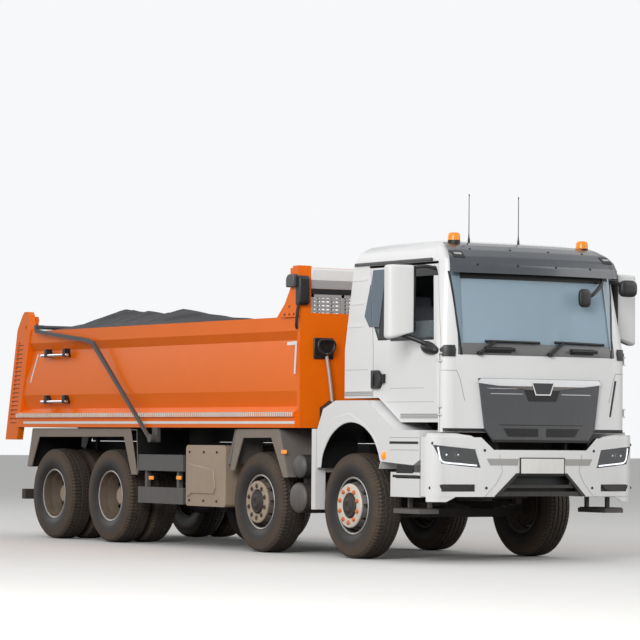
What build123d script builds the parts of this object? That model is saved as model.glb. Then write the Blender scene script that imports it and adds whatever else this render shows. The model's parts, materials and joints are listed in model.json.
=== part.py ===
"""Four-axle dump truck with a steel tipping body, cab-over day cab and front hoist.

Millimetres. +X is the truck's nose, +Y its left side, +Z up. The origin is on the ground in the
middle of the overall length and width. The truck is right-hand drive, so its driver sits at -Y.
Pieces named right are at -Y.
"""
import math
import os

from build123d import *

os.makedirs("parts", exist_ok=True)

# Overall reach from the first axle, which places every station along X.
FRONT_REACH = 1620
REAR_REACH = 7600
AXLE_1 = (REAR_REACH - FRONT_REACH) / 2

# Axles, tyres and rims. Steered wheels are single, driven wheels are twins.
STEER_AXLE_GAP = 1795
WHEELBASE_GAP = 3250
DRIVE_AXLE_GAP = 1400
AXLE_2 = AXLE_1 - STEER_AXLE_GAP
AXLE_3 = AXLE_2 - WHEELBASE_GAP
AXLE_4 = AXLE_3 - DRIVE_AXLE_GAP
TYRE_RADIUS = 530
TYRE_WIDTH = 300
BEAD_RADIUS = 286
SEAT_CLEARANCE = 0.3
STEER_TRACK_HALF = 1040
TWIN_CENTRE = 910
TWIN_SPACING = 340
RIM_WIDTH = 236
RIM_WALL = 14
STUD_CIRCLE_RADIUS = 167.5
STUD_COUNT = 10
NUT_RADIUS = 17
HUB_BORE_RADIUS = 132
HUB_RADIUS = 150
HAND_HOLE_RADIUS = 28
HAND_HOLE_COUNT = 10
KINGPIN_Y = 920
KINGPIN_RADIUS = 24
BEAM_EYE_RADIUS = 38
JAW_RADIUS = 44
SPINDLE_RADIUS = 45
PIN_CLEARANCE = 0.3

# Ladder frame and the subframe under the body.
RAIL_OUTER_Y = 430
RAIL_FLANGE = 85
RAIL_WEB = 9
RAIL_HEIGHT = 270
RAIL_TOP = 990
RAIL_FRONT = AXLE_1 + 1180
RAIL_REAR = AXLE_4 - 880
SUBFRAME_HEIGHT = 160
SUBFRAME_TOP = RAIL_TOP + SUBFRAME_HEIGHT
SUBFRAME_FRONT = AXLE_1 - 820
SUBFRAME_REAR = RAIL_REAR + 80
CROSS_WIDTH = 110
RAIL_BOTTOM = RAIL_TOP - RAIL_HEIGHT

# Cab: outer form, walls and seams.
CAB_HALF_WIDTH = 1120
CAB_TOP_HALF_WIDTH = 1015
CAB_WAIST = 2100
ROOF_SEAM = 2940
CAB_EAVES = ROOF_SEAM + 20
CAB_REAR = AXLE_1 - 230
CAB_NOSE = AXLE_1 + 1590
CAB_CROWN = 60
CAB_CORNER_RADIUS = 140
CAB_FRONT_BOTTOM = 1275
CAB_UNDERSIDE = 1368
CAB_REAR_BOTTOM = 1610
ROOF_TOP = CAB_EAVES + 205
CAB_WALL = 60
SILL_HEIGHT = 70
PANEL_GAP = 6
DOOR_CORE_CORNER = 16
DOOR_SWING_GAP = 4
HINGE_Y = 1124
HINGE_HALF = 30
HINGE_PIN_RADIUS = 5
HINGE_LEVELS = (1480, 2000)
GLASS_SET_IN = 10
GLASS_THICKNESS = 6
GLASS_CLEARANCE = 0.3
ARCH_STEP_REAR = AXLE_1 + 400
ARCH_STEP_FRONT = AXLE_1 + 800
DOOR_FRONT = AXLE_1 + 1460
DOOR_FRONT_TOP = AXLE_1 + 1290
HINGE_X = DOOR_FRONT + 2 - 10
DOOR_REAR_LOW = AXLE_1 + 290
DOOR_REAR_HIGH = AXLE_1 + 85
WINDSCREEN_BASE = 2025
WINDSCREEN_TOP = ROOF_SEAM - 100
TILT_PIVOT_X = AXLE_1 + 1545
TILT_PIVOT_Z = 1290
TILT_ARM_Y = 450
TILT_PIN_RADIUS = 15
FLAP_TOP = 1800
FLAP_BOTTOM = 1180
FLAP_THICKNESS = 26

# Bumper, front fenders and steps.
BUMPER_HALF_WIDTH = 1240
BUMPER_REAR = AXLE_1 + 1330
BUMPER_CROWN = 110
BUMPER_CORNER_RADIUS = 150
BUMPER_WALL = 40
FENDER_Y = 1250
FENDER_INNER_Y = 780

# Tipping body.
BODY_FRONT = AXLE_1 - 870
BODY_REAR_TOP = AXLE_1 - 7000
BODY_REAR_BOTTOM = AXLE_1 - 7290
BODY_BOTTOM = 1310
BODY_TOP = 2455
BODY_FLOOR_TOP = 1440
FLOOR_PLATE = 40
RUNNER_GAP = 5
RUNNER_Y = 400
RUNNER_WIDTH = 80
POST_WIDTH = 310
POST_BOTTOM = 1160
POST_TOP = 2480
POST_Y = 1275
TIP_PIVOT_X = AXLE_1 - 7050
TIP_PIVOT_Z = 1050
TIP_PIN_RADIUS = 30
GATE_PIVOT_X = AXLE_1 - 7090
GATE_PIVOT_Z = 2590
GATE_THICKNESS = 80
HEADBOARD_TOP = 2980
HEADBOARD_THICKNESS = 50

# Hoist between cab and body.
HOIST_X = AXLE_1 - 520
HOIST_FOOT_Z = 640
HOIST_EYE_Z = 2050
HOIST_BARREL_RADIUS = 108
HOIST_STAGE_STEP = 14
HOIST_STAGES = 5
HOIST_FOOT_RADIUS = 40
HOIST_JAW_HALF = 60
HOIST_SWING = 365

# Derived stations and tables.
STEER_FACE = STEER_TRACK_HALF + 130
HUB_BACK = KINGPIN_Y + 75
KNUCKLE_HALF = 95
DISC = 14
FLANGE_RADIUS = 215
HAND_HOLE_CIRCLE = 238
BEAM_SEAT = 500
CASING_RADIUS = 205
SPRING_Y = 455
SPRING_WIDTH = 70
LEAF_THICKNESS = 18
LEAF_COUNT = 4
LEAF_SETBACK = 130
SPRING_TABLE = [(AXLE_1, 600, BEAM_SEAT), (AXLE_2, 600, BEAM_SEAT),
                ((AXLE_3 + AXLE_4) / 2, 760, TYRE_RADIUS + 79)]
CROSS_MEMBERS = (HOIST_X - HOIST_SWING, AXLE_2 - 560, AXLE_2 - 1700, AXLE_3 + 650, (AXLE_3 + AXLE_4) / 2, RAIL_REAR + 70)
UNDERRUN_HALF = 1180
TOW_Y = -150
TOW_Z = 800
TOW_RADIUS = 20
UNDERRUN_Z = 450
RADIATOR_HALF = 340
FRONT_X = AXLE_1 + FRONT_REACH
FRONT_APRON_REAR = AXLE_1 + 1440
FLAP_BACK = AXLE_1 + 1480
DOOR_TOP = ROOF_SEAM - 20
WINDOW_BASE = 2180
WINDOW_TOP = DOOR_TOP - 100
WINDOW_FRONT = AXLE_1 + 1350
WINDOW_FRONT_TOP = AXLE_1 + 1225
WINDOW_REAR = AXLE_1 + 620
QUARTER_FRONT = AXLE_1 + 530
QUARTER_REAR = AXLE_1 + 255
LOWERED_GLASS_TOP = WINDOW_BASE + 180
SCREEN_BASE_HALF = 950
SCREEN_TOP_HALF = 905
FLAP_TOP_HALF = 730
FLAP_LOW_HALF = 660
FLAP_WAIST = 1300
FLAP_LIP_HALF = 560
FLAP_OVERLAP = 22
MOUTH_LIP_HALF = 540
MIRROR_X = AXLE_1 + 1120
MIRROR_INNER = 1200
MIRROR_OUTER = 1515
MIRROR_HIGH = DOOR_TOP - 20
MIRROR_LOW = MIRROR_HIGH - 700
PAN_SLOPE = (CAB_REAR_BOTTOM - CAB_UNDERSIDE) / (ARCH_STEP_FRONT - ARCH_STEP_REAR - 10)
VISOR_STAND_OFF = 70
VISOR_HALF = 960
VISOR_BOTTOM = WINDSCREEN_TOP - 10
VISOR_TOP = ROOF_SEAM + 120
BEACON_X = AXLE_1 + 1180
BUMPER_BOTTOM = 650
BUMPER_TOP = 1225
BUMPER_MID_TOP = 1105
GUARD_SKIN = 12
HEADLAMP = [(1200, 1150), (760, 1110), (700, 930), (950, 950), (1120, 970)]
LAMP_FIT = 0.5
FENDER_OUTLINE = [(-430, 1500), (-200, 1585), (360, 1585), (800, 1340), (900, 1290), (1320, 1290),
                  (1320, 1080), (1320, 1000), (1210, 950), (650, 980), (600, 900), (-540, 900), (-540, 1290)]
FENDER_HOLLOW = [(-520, 899), (-500, 1180), (-380, 1290), (-180, 1400), (60, 1440), (330, 1330), (520, 1200),
                 (640, 985), (601, 899)]
SECOND_GUARD = [(-2330, 930), (-2180, 1290), (-1260, 1290), (-1080, 800)]
REAR_GUARD = [(-7035, 840), (-6930, 1290), (-4340, 1290), (-4300, 800)]
BODY_RAIL_HALF = 1280
BODY_SECTION = [(-1260, BODY_TOP), (-1260, 2310), (-1212, 2215), (-1260, 1870), (-1260, 1690), (-1222, 1530),
                (-1300, 1465), (-1300, 1430), (-BODY_RAIL_HALF, 1410), (-BODY_RAIL_HALF, BODY_BOTTOM)]
INNER_HALF = 1165
BEARER_COUNT = 15
GATE_PIN_RADIUS = 20
POST_OUTLINE = [(BODY_REAR_BOTTOM, POST_BOTTOM), (BODY_REAR_BOTTOM - POST_WIDTH, POST_BOTTOM),
                (AXLE_1 - 7310, POST_TOP), (AXLE_1 - 7180, GATE_PIVOT_Z + 60), (AXLE_1 - 7130, GATE_PIVOT_Z + 100),
                (AXLE_1 - 7050, GATE_PIVOT_Z + 100), (AXLE_1 - 7010, GATE_PIVOT_Z + 60), (AXLE_1 - 6970, POST_TOP)]
POST_LEAN = (AXLE_1 - 7310 - BODY_REAR_BOTTOM + POST_WIDTH) / (POST_TOP - POST_BOTTOM)
POST_SLOTS = 19
SLOT_LOW = 1400
SLOT_PITCH = 50
GATE_HALF = 1175
GATE_TOP = 2440
GATE_BOTTOM = 1320
GATE_TOP_X = AXLE_1 - 7220
GATE_BOTTOM_X = AXLE_1 - 7465
GATE_OUTLINE = [(GATE_TOP_X, GATE_TOP), (GATE_TOP_X - GATE_THICKNESS, GATE_TOP),
                (GATE_BOTTOM_X - GATE_THICKNESS, GATE_BOTTOM), (GATE_BOTTOM_X, GATE_BOTTOM)]
SHEET_REAR = AXLE_1 - 6700
SHEET_HALF = 1214
SHEET_FRONT = BODY_FRONT - 210
SHEET_HEM = 12
SHEET_RISES = [(SHEET_REAR, 30), (SHEET_REAR + 750, 235), (SHEET_REAR + 1670, 155), (SHEET_REAR + 2480, 175),
               (SHEET_REAR + 2840, 40), (SHEET_FRONT, 26)]
STAGE_CLEARANCE = 1.0
CAB_SECTIONS = [
    (CAB_FRONT_BOTTOM, CAB_REAR, CAB_NOSE, CAB_HALF_WIDTH, CAB_CORNER_RADIUS),
    (1820, CAB_REAR, CAB_NOSE, CAB_HALF_WIDTH, CAB_CORNER_RADIUS),
    (2060, CAB_REAR, CAB_NOSE - 5, CAB_HALF_WIDTH, CAB_CORNER_RADIUS),
    (CAB_WAIST, CAB_REAR, CAB_NOSE - 10, CAB_HALF_WIDTH, CAB_CORNER_RADIUS),
    (WINDSCREEN_TOP, CAB_REAR, CAB_NOSE - 110, 1030, CAB_CORNER_RADIUS),
    (CAB_EAVES, CAB_REAR, CAB_NOSE - 135, CAB_TOP_HALF_WIDTH, CAB_CORNER_RADIUS),
    (CAB_EAVES + 110, CAB_REAR + 40, CAB_NOSE - 260, 975, CAB_CORNER_RADIUS),
    (CAB_EAVES + 175, CAB_REAR + 120, CAB_NOSE - 400, 890, CAB_CORNER_RADIUS),
    (ROOF_TOP, CAB_REAR + 270, CAB_NOSE - 560, 760, CAB_CORNER_RADIUS),
]


def prism_xz(points, y_start, y_end, mode=Mode.ADD):
    """Adds a prism of an x, z outline between two y values to the open part."""
    with BuildSketch(Plane.XZ.offset(-y_start)) as outline:
        with BuildLine():
            Polyline(*points, close=True)
        make_face()
    extrude(outline.sketch, amount=y_start - y_end, mode=mode)


def prism_yz(points, x_start, x_end, mode=Mode.ADD):
    """Adds a prism of a y, z outline between two x values to the open part."""
    with BuildSketch(Plane.YZ.offset(x_start)) as outline:
        with BuildLine():
            Polyline(*points, close=True)
        make_face()
    extrude(outline.sketch, amount=x_end - x_start, mode=mode)


def prism_xy(points, z_start, z_end, mode=Mode.ADD):
    """Adds a prism of an x, y outline between two z values to the open part."""
    with BuildSketch(Plane.XY.offset(z_start)) as outline:
        with BuildLine():
            Polyline(*points, close=True)
        make_face()
    extrude(outline.sketch, amount=z_end - z_start, mode=mode)


def block(x_low, x_high, y_low, y_high, z_low, z_high, mode=Mode.ADD):
    """Adds a box between two corners to the open part."""
    with Locations(((x_low + x_high) / 2, (y_low + y_high) / 2, (z_low + z_high) / 2)):
        Box(abs(x_high - x_low), abs(y_high - y_low), abs(z_high - z_low), mode=mode)


def rod_y(x, z, radius, y_low, y_high, mode=Mode.ADD):
    """Adds a round bar along Y to the open part."""
    with Locations(Location((x, (y_low + y_high) / 2, z), (90, 0, 0))):
        Cylinder(radius, abs(y_high - y_low), mode=mode)


def rod_x(y, z, radius, x_low, x_high, mode=Mode.ADD):
    """Adds a round bar along X to the open part."""
    with Locations(Location(((x_low + x_high) / 2, y, z), (0, 90, 0))):
        Cylinder(radius, abs(x_high - x_low), mode=mode)


def rod_z(x, y, radius, z_low, z_high, mode=Mode.ADD):
    """Adds an upright round bar to the open part."""
    with Locations((x, y, (z_low + z_high) / 2)):
        Cylinder(radius, abs(z_high - z_low), mode=mode)

def turned(points, axle_x):
    """Turns a section of (y, radius) points about the axle into the open part."""
    with BuildSketch(Plane(origin=(axle_x, 0, TYRE_RADIUS), x_dir=(0, 1, 0), z_dir=(1, 0, 0))) as section:
        with BuildLine():
            Polyline(*points, close=True)
        make_face()
    revolve(section.sketch, axis=Axis((axle_x, 0, TYRE_RADIUS), (0, 1, 0)))


def rim_section(middle, face, side):
    """Section of a disc wheel: the barrel, then a cone to the flat bolting flange at y = face."""
    half = RIM_WIDTH / 2
    outer = BEAD_RADIUS - SEAT_CLEARANCE
    inner = outer - RIM_WALL
    lean = 1 if face > middle else -1
    near = face + side * DISC if lean == side else face
    far = near - lean * DISC
    root = middle - lean * 30
    return [(middle - lean * half, inner), (middle - lean * half, outer),
            (middle + lean * half, outer), (middle + lean * half, inner),
            (root + lean * 2 * DISC, inner), (near, FLANGE_RADIUS), (near, HUB_BORE_RADIUS),
            (far, HUB_BORE_RADIUS), (far, FLANGE_RADIUS - DISC), (root, inner - 26), (root, inner)]


def hand_holes(axle_x, y_low, y_high):
    """Cuts the ring of round hand holes through the cone of a disc."""
    with BuildSketch(Plane(origin=(axle_x, y_low, TYRE_RADIUS), x_dir=(1, 0, 0), z_dir=(0, 1, 0))) as holes:
        with PolarLocations(HAND_HOLE_CIRCLE, HAND_HOLE_COUNT):
            Circle(HAND_HOLE_RADIUS)
    extrude(holes.sketch, amount=y_high - y_low, mode=Mode.SUBTRACT)


def wheel_nuts(axle_x, y_low, y_high):
    """A circle of hexagon wheel nuts between two y values."""
    with BuildSketch(Plane(origin=(axle_x, y_low, TYRE_RADIUS), x_dir=(1, 0, 0), z_dir=(0, 1, 0))) as nuts:
        with PolarLocations(STUD_CIRCLE_RADIUS, STUD_COUNT, start_angle=18):
            RegularPolygon(NUT_RADIUS, 6)
    extrude(nuts.sketch, amount=y_high - y_low)


# One tyre at the origin's axle. Sidewalls bulge past the beads and the tread is slightly crowned.
with BuildPart() as tyre:
    half = TYRE_WIDTH / 2
    with BuildSketch(Plane.YZ) as tyre_section:
        with BuildLine():
            ThreePointArc((-half * 0.75, BEAD_RADIUS), (-half, BEAD_RADIUS + 110),
                          (-half * 0.93, TYRE_RADIUS - 40))
            Line((-half * 0.93, TYRE_RADIUS - 40), (-half * 0.74, TYRE_RADIUS - 6))
            ThreePointArc((-half * 0.74, TYRE_RADIUS - 6), (0, TYRE_RADIUS), (half * 0.74, TYRE_RADIUS - 6))
            Line((half * 0.74, TYRE_RADIUS - 6), (half * 0.93, TYRE_RADIUS - 40))
            ThreePointArc((half * 0.93, TYRE_RADIUS - 40), (half, BEAD_RADIUS + 110),
                          (half * 0.75, BEAD_RADIUS))
            Line((half * 0.75, BEAD_RADIUS), (-half * 0.75, BEAD_RADIUS))
        make_face()
    revolve(axis=Axis.Y)

# Steered wheel on the right: outset disc, hub drum, nut ring and nuts.
with BuildPart() as steer_rim:
    turned(rim_section(-STEER_TRACK_HALF, -STEER_FACE, -1), 0)
    hand_holes(0, -(STEER_FACE + 30), -STEER_TRACK_HALF)
    rod_y(0, TYRE_RADIUS, HUB_RADIUS, -STEER_FACE, -HUB_BACK)
    rod_y(0, TYRE_RADIUS, HUB_BORE_RADIUS - 22, -(STEER_FACE + 34), -STEER_FACE)
    rod_y(0, TYRE_RADIUS, SPINDLE_RADIUS + PIN_CLEARANCE, -(STEER_FACE - 60), -HUB_BACK, mode=Mode.SUBTRACT)
    turned([(-STEER_FACE - 12, HUB_BORE_RADIUS), (-STEER_FACE - 26, HUB_BORE_RADIUS),
            (-STEER_FACE - 26, FLANGE_RADIUS - 6), (-STEER_FACE - 12, FLANGE_RADIUS - 6)], 0)
    wheel_nuts(0, -(STEER_FACE + 46), -(STEER_FACE + 10))

# Driven wheels on the right: two deep discs bolted back to back on the hub.
with BuildPart() as twin_rims:
    turned(rim_section(-(TWIN_CENTRE + TWIN_SPACING / 2), -TWIN_CENTRE, -1), 0)
    turned(rim_section(-(TWIN_CENTRE - TWIN_SPACING / 2), -TWIN_CENTRE, 1), 0)
    hand_holes(0, -(TWIN_CENTRE + 90), -(TWIN_CENTRE - 90))
    rod_y(0, TYRE_RADIUS, HUB_RADIUS - 12, -(TWIN_CENTRE + 110), -(TWIN_CENTRE - 90))
    rod_y(0, TYRE_RADIUS, 96, -(TWIN_CENTRE + 140), -(TWIN_CENTRE + 110))
    rod_y(0, TYRE_RADIUS, SPINDLE_RADIUS + PIN_CLEARANCE, -(TWIN_CENTRE + 60), -(TWIN_CENTRE - 90),
          mode=Mode.SUBTRACT)
    wheel_nuts(0, -(TWIN_CENTRE + 50), -(TWIN_CENTRE + 10))

# Steering knuckle on the right: kingpin boss, stub spindle, drum backplate and steering arm.
with BuildPart() as knuckle:
    rod_z(0, -KINGPIN_Y, JAW_RADIUS, TYRE_RADIUS - KNUCKLE_HALF, TYRE_RADIUS + KNUCKLE_HALF)
    block(-JAW_RADIUS, JAW_RADIUS, -KINGPIN_Y - 62, -KINGPIN_Y, TYRE_RADIUS - KNUCKLE_HALF,
          TYRE_RADIUS + KNUCKLE_HALF)
    rod_z(0, -KINGPIN_Y, JAW_RADIUS + 2, TYRE_RADIUS - 56, TYRE_RADIUS + 56, mode=Mode.SUBTRACT)
    block(-60, 60, -KINGPIN_Y, -KINGPIN_Y + 60, TYRE_RADIUS - 56, TYRE_RADIUS + 56, mode=Mode.SUBTRACT)
    rod_z(0, -KINGPIN_Y, KINGPIN_RADIUS, TYRE_RADIUS - 70, TYRE_RADIUS + 70)
    rod_y(0, TYRE_RADIUS, 80, -(HUB_BACK - 8), -(KINGPIN_Y + 48))
    rod_y(0, TYRE_RADIUS, 205, -(HUB_BACK - 10), -(HUB_BACK - 20))
    rod_y(0, TYRE_RADIUS, SPINDLE_RADIUS, -(STEER_FACE - 70), -(KINGPIN_Y + 40))
    block(-200, 0, -(KINGPIN_Y + 40), -(KINGPIN_Y + 15), TYRE_RADIUS - KNUCKLE_HALF, TYRE_RADIUS - 62)

for number, axle_x in ((1, AXLE_1), (2, AXLE_2)):
    for side, word in ((-1, "right"), (1, "left")):
        for piece, node in ((steer_rim, f"rim_{number}_{word}"), (knuckle, f"knuckle_{number}_{word}")):
            placed = piece.part if side < 0 else mirror(piece.part, about=Plane.XZ)
            placed = Pos(axle_x, 0, 0) * placed
            placed.label = node
            export_step(placed, f"parts/{node}.step")
        placed = Pos(axle_x, side * STEER_TRACK_HALF, TYRE_RADIUS) * tyre.part
        placed.label = f"tyre_{number}_{word}"
        export_step(placed, f"parts/{placed.label}.step")

for number, axle_x in ((3, AXLE_3), (4, AXLE_4)):
    for side, word in ((-1, "right"), (1, "left")):
        placed = twin_rims.part if side < 0 else mirror(twin_rims.part, about=Plane.XZ)
        placed = Pos(axle_x, 0, 0) * placed
        placed.label = f"rims_{number}_{word}"
        export_step(placed, f"parts/{placed.label}.step")
        pair = [Pos(axle_x, side * (TWIN_CENTRE + off * TWIN_SPACING / 2), TYRE_RADIUS) * tyre.part
                for off in (-1, 1)]
        twins = Compound(children=pair, label=f"tyres_{number}_{word}")
        export_step(twins, f"parts/{twins.label}.step")

# Axles: dropped I-beams in front, banjo casings behind with the through shaft.
with BuildPart() as steer_axles:
    for axle_x in (AXLE_1, AXLE_2):
        block(axle_x - 45, axle_x + 45, -690, 690, BEAM_SEAT - 90, BEAM_SEAT)
        for side in (-1, 1):
            prism_yz([(side * 640, BEAM_SEAT - 90), (side * 720, BEAM_SEAT - 90),
                      (side * (KINGPIN_Y - 80), TYRE_RADIUS - 50), (side * KINGPIN_Y, TYRE_RADIUS - 50),
                      (side * KINGPIN_Y, TYRE_RADIUS + 50), (side * (KINGPIN_Y - 50), TYRE_RADIUS + 50),
                      (side * 690, BEAM_SEAT)], axle_x - BEAM_EYE_RADIUS + 6, axle_x + BEAM_EYE_RADIUS - 6)
            rod_z(axle_x, side * KINGPIN_Y, BEAM_EYE_RADIUS, TYRE_RADIUS - 50, TYRE_RADIUS + 50)
            rod_z(axle_x, side * KINGPIN_Y, KINGPIN_RADIUS + PIN_CLEARANCE, 0, 2 * TYRE_RADIUS,
                  mode=Mode.SUBTRACT)
steer_axles.part.label = "steer_axles"
export_step(steer_axles.part, "parts/steer_axles.step")

with BuildPart() as drive_axles:
    for axle_x in (AXLE_3, AXLE_4):
        rod_y(axle_x, TYRE_RADIUS, 80, -(TWIN_CENTRE - 100), TWIN_CENTRE - 100)
        rod_y(axle_x, TYRE_RADIUS, SPINDLE_RADIUS, -(TWIN_CENTRE + 50), TWIN_CENTRE + 50)
        with Locations((axle_x, 0, TYRE_RADIUS)):
            Sphere(CASING_RADIUS)
        rod_x(0, TYRE_RADIUS + 20, 75, axle_x, axle_x + 320)
        for side in (-1, 1):
            block(axle_x - 60, axle_x + 60, side * SPRING_Y - SPRING_WIDTH / 2, side * SPRING_Y + SPRING_WIDTH / 2,
                  TYRE_RADIUS, SPRING_TABLE[2][2] + (LEAF_COUNT - 1) * LEAF_THICKNESS)
    rod_x(0, TYRE_RADIUS + 20, 45, AXLE_4 + 320, AXLE_3 + 10)
drive_axles.part.label = "drive_axles"
export_step(drive_axles.part, "parts/drive_axles.step")

# Leaf packs under the rails: leaves that get shorter towards the axle, with shackles at the ends.
with BuildPart() as leaf_springs:
    for middle_x, reach, seat_z in SPRING_TABLE:
        for side in (-1, 1):
            y_low, y_high = side * SPRING_Y - SPRING_WIDTH / 2, side * SPRING_Y + SPRING_WIDTH / 2
            for leaf in range(LEAF_COUNT):
                half = reach - LEAF_SETBACK * (LEAF_COUNT - 1 - leaf)
                z = seat_z + leaf * LEAF_THICKNESS
                block(middle_x - half, middle_x + half, y_low, y_high, z, z + LEAF_THICKNESS)
            top = seat_z + LEAF_COUNT * LEAF_THICKNESS
            for end in (-1, 1):
                shackle = middle_x + end * (reach - 35)
                block(shackle - 35, shackle + 35, y_low, y_high, top, RAIL_BOTTOM)
leaf_springs.part.label = "leaf_springs"
export_step(leaf_springs.part, "parts/leaf_springs.step")

# Ladder frame: channel rails opening inwards, cross-members, subframe and the tipping hinge.
with BuildPart() as chassis_frame:
    for side in (-1, 1):
        block(RAIL_REAR, RAIL_FRONT, side * (RAIL_OUTER_Y - RAIL_FLANGE), side * RAIL_OUTER_Y,
              RAIL_BOTTOM, RAIL_TOP)
        block(RAIL_REAR - 1, RAIL_FRONT + 1, side * (RAIL_OUTER_Y - RAIL_FLANGE - 1),
              side * (RAIL_OUTER_Y - RAIL_WEB), RAIL_BOTTOM + RAIL_WEB, RAIL_TOP - RAIL_WEB,
              mode=Mode.SUBTRACT)
        block(SUBFRAME_REAR, SUBFRAME_FRONT, side * (RAIL_OUTER_Y - RAIL_FLANGE), side * RAIL_OUTER_Y,
              RAIL_TOP, SUBFRAME_TOP)
    for middle_x in CROSS_MEMBERS:
        block(middle_x - CROSS_WIDTH / 2, middle_x + CROSS_WIDTH / 2, -(RAIL_OUTER_Y - RAIL_WEB),
              RAIL_OUTER_Y - RAIL_WEB, RAIL_BOTTOM + RAIL_WEB, RAIL_TOP - RAIL_WEB)
    # Hoist foot shaft between the rails.
    rod_y(HOIST_X, HOIST_FOOT_Z, HOIST_FOOT_RADIUS, -(RAIL_OUTER_Y - RAIL_FLANGE), RAIL_OUTER_Y - RAIL_FLANGE)
    for side in (-1, 1):
        prism_xz([(HOIST_X - 150, RAIL_TOP - 20), (HOIST_X - 60, HOIST_FOOT_Z - 60),
                  (HOIST_X + 60, HOIST_FOOT_Z - 60), (HOIST_X + 150, RAIL_TOP - 20)],
                 side * (RAIL_OUTER_Y - RAIL_FLANGE), side * (RAIL_OUTER_Y - RAIL_FLANGE - 25))
        # Tipping hinge cheeks and pin at the back.
        prism_xz([(TIP_PIVOT_X - 180, RAIL_BOTTOM + 60), (TIP_PIVOT_X - 70, TIP_PIVOT_Z + 60),
                  (TIP_PIVOT_X + 70, TIP_PIVOT_Z + 60), (TIP_PIVOT_X + 220, RAIL_BOTTOM + 60)],
                 side * RAIL_OUTER_Y, side * (RAIL_OUTER_Y + 35))
        rod_y(TIP_PIVOT_X, TIP_PIVOT_Z, TIP_PIN_RADIUS, side * (RAIL_OUTER_Y + 34), side * (RAIL_OUTER_Y + 130))
        # Cab tilt arms rising ahead of the rails.
        prism_xz([(RAIL_FRONT - 160, RAIL_BOTTOM), (RAIL_FRONT - 160, RAIL_TOP),
                  (TILT_PIVOT_X - 40, TILT_PIVOT_Z + 30), (TILT_PIVOT_X + 20, TILT_PIVOT_Z + 24),
                  (TILT_PIVOT_X + 20, TILT_PIVOT_Z - 22), (TILT_PIVOT_X - 97, TILT_PIVOT_Z - 96),
                  (TILT_PIVOT_X - 97, TILT_PIVOT_Z - 200), (TILT_PIVOT_X - 60, TILT_PIVOT_Z - 270),
                  (TILT_PIVOT_X - 60, RAIL_BOTTOM)],
                 side * (RAIL_OUTER_Y - 30), side * RAIL_OUTER_Y)
        rod_y(TILT_PIVOT_X, TILT_PIVOT_Z, TILT_PIN_RADIUS, side * (RAIL_OUTER_Y - 1), side * (TILT_ARM_Y + 45))
    # Front tow cross-member and the rear underrun bar with its hangers.
    block(TILT_PIVOT_X - 130, TILT_PIVOT_X - 60, -RAIL_OUTER_Y, RAIL_OUTER_Y, RAIL_BOTTOM, RAIL_TOP - 60)
    rod_x(TOW_Y, TOW_Z, TOW_RADIUS, TILT_PIVOT_X - 131, TILT_PIVOT_X - 59, mode=Mode.SUBTRACT)
    block(RAIL_REAR, RAIL_REAR + 90, -UNDERRUN_HALF, UNDERRUN_HALF, UNDERRUN_Z, UNDERRUN_Z + 120)
    for side in (-1, 1):
        block(RAIL_REAR + 10, RAIL_REAR + 80, side * (RAIL_OUTER_Y - 70), side * RAIL_OUTER_Y,
              UNDERRUN_Z + 60, RAIL_BOTTOM + 5)
chassis_frame.part.label = "chassis_frame"
export_step(chassis_frame.part, "parts/chassis_frame.step")

# Engine with its gearbox, and the radiator ahead of it.
with BuildPart() as engine:
    block(AXLE_1 - 250, AXLE_1 + 960, -300, 300, 620, 1180)
    block(AXLE_1 - 200, AXLE_1 + 900, -170, 170, 1180, 1310)
    rod_x(0, 830, 190, AXLE_1 - 395, AXLE_1 - 250)
    block(AXLE_1 + 960, AXLE_1 + 1010, -60, 60, 760, 880)
    block(AXLE_1 + 1010, AXLE_1 + 1130, -RADIATOR_HALF, RADIATOR_HALF, 660, 1230)
    for side in (-1, 1):
        block(AXLE_1 + 480, AXLE_1 + 620, side * 290, side * (RAIL_OUTER_Y - RAIL_WEB), 740, 800)
engine.part.label = "engine"
export_step(engine.part, "parts/engine.step")


def crowned_plan(rear_x, front_x, half_width, corner, crown, inset=0.0):
    """Sketches a plan outline: straight sides and back, a gently crowned front, rounded corners."""
    side_y = half_width - inset
    nose = front_x - inset
    cheek = nose - crown
    with BuildLine() as path:
        Line((rear_x + inset, -side_y), (cheek - corner, -side_y))
        ThreePointArc((cheek - corner, -side_y), (cheek - corner * 0.22, -side_y + corner * 0.3),
                      (cheek, -side_y + corner * 1.05))
        ThreePointArc((cheek, -side_y + corner * 1.05), (nose, 0), (cheek, side_y - corner * 1.05))
        ThreePointArc((cheek, side_y - corner * 1.05), (cheek - corner * 0.22, side_y - corner * 0.3),
                      (cheek - corner, side_y))
        Line((cheek - corner, side_y), (rear_x + inset, side_y))
        Line((rear_x + inset, side_y), (rear_x + inset, -side_y))
    make_face(path.edges())


def cab_form(inset, top_drop, tightest_corner=None):
    """The cab's closed outer form, or the same form drawn in by a wall, without its wheel arch."""
    with BuildPart() as form:
        for z, rear_x, front_x, half_width, corner in CAB_SECTIONS:
            level = z if z < CAB_WAIST + 500 else z - top_drop
            with BuildSketch(Plane.XY.offset(level)):
                crowned_plan(rear_x, front_x, half_width, tightest_corner or max(corner - inset / 2, 20),
                             CAB_CROWN, inset)
        loft(ruled=True)
    return form.part


def side_prism(points, y_low, y_high):
    """A loose prism of an x, z outline, to cut the cab's forms with."""
    with BuildPart() as prism:
        prism_xz(points, y_high, y_low)
    return prism.part


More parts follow.
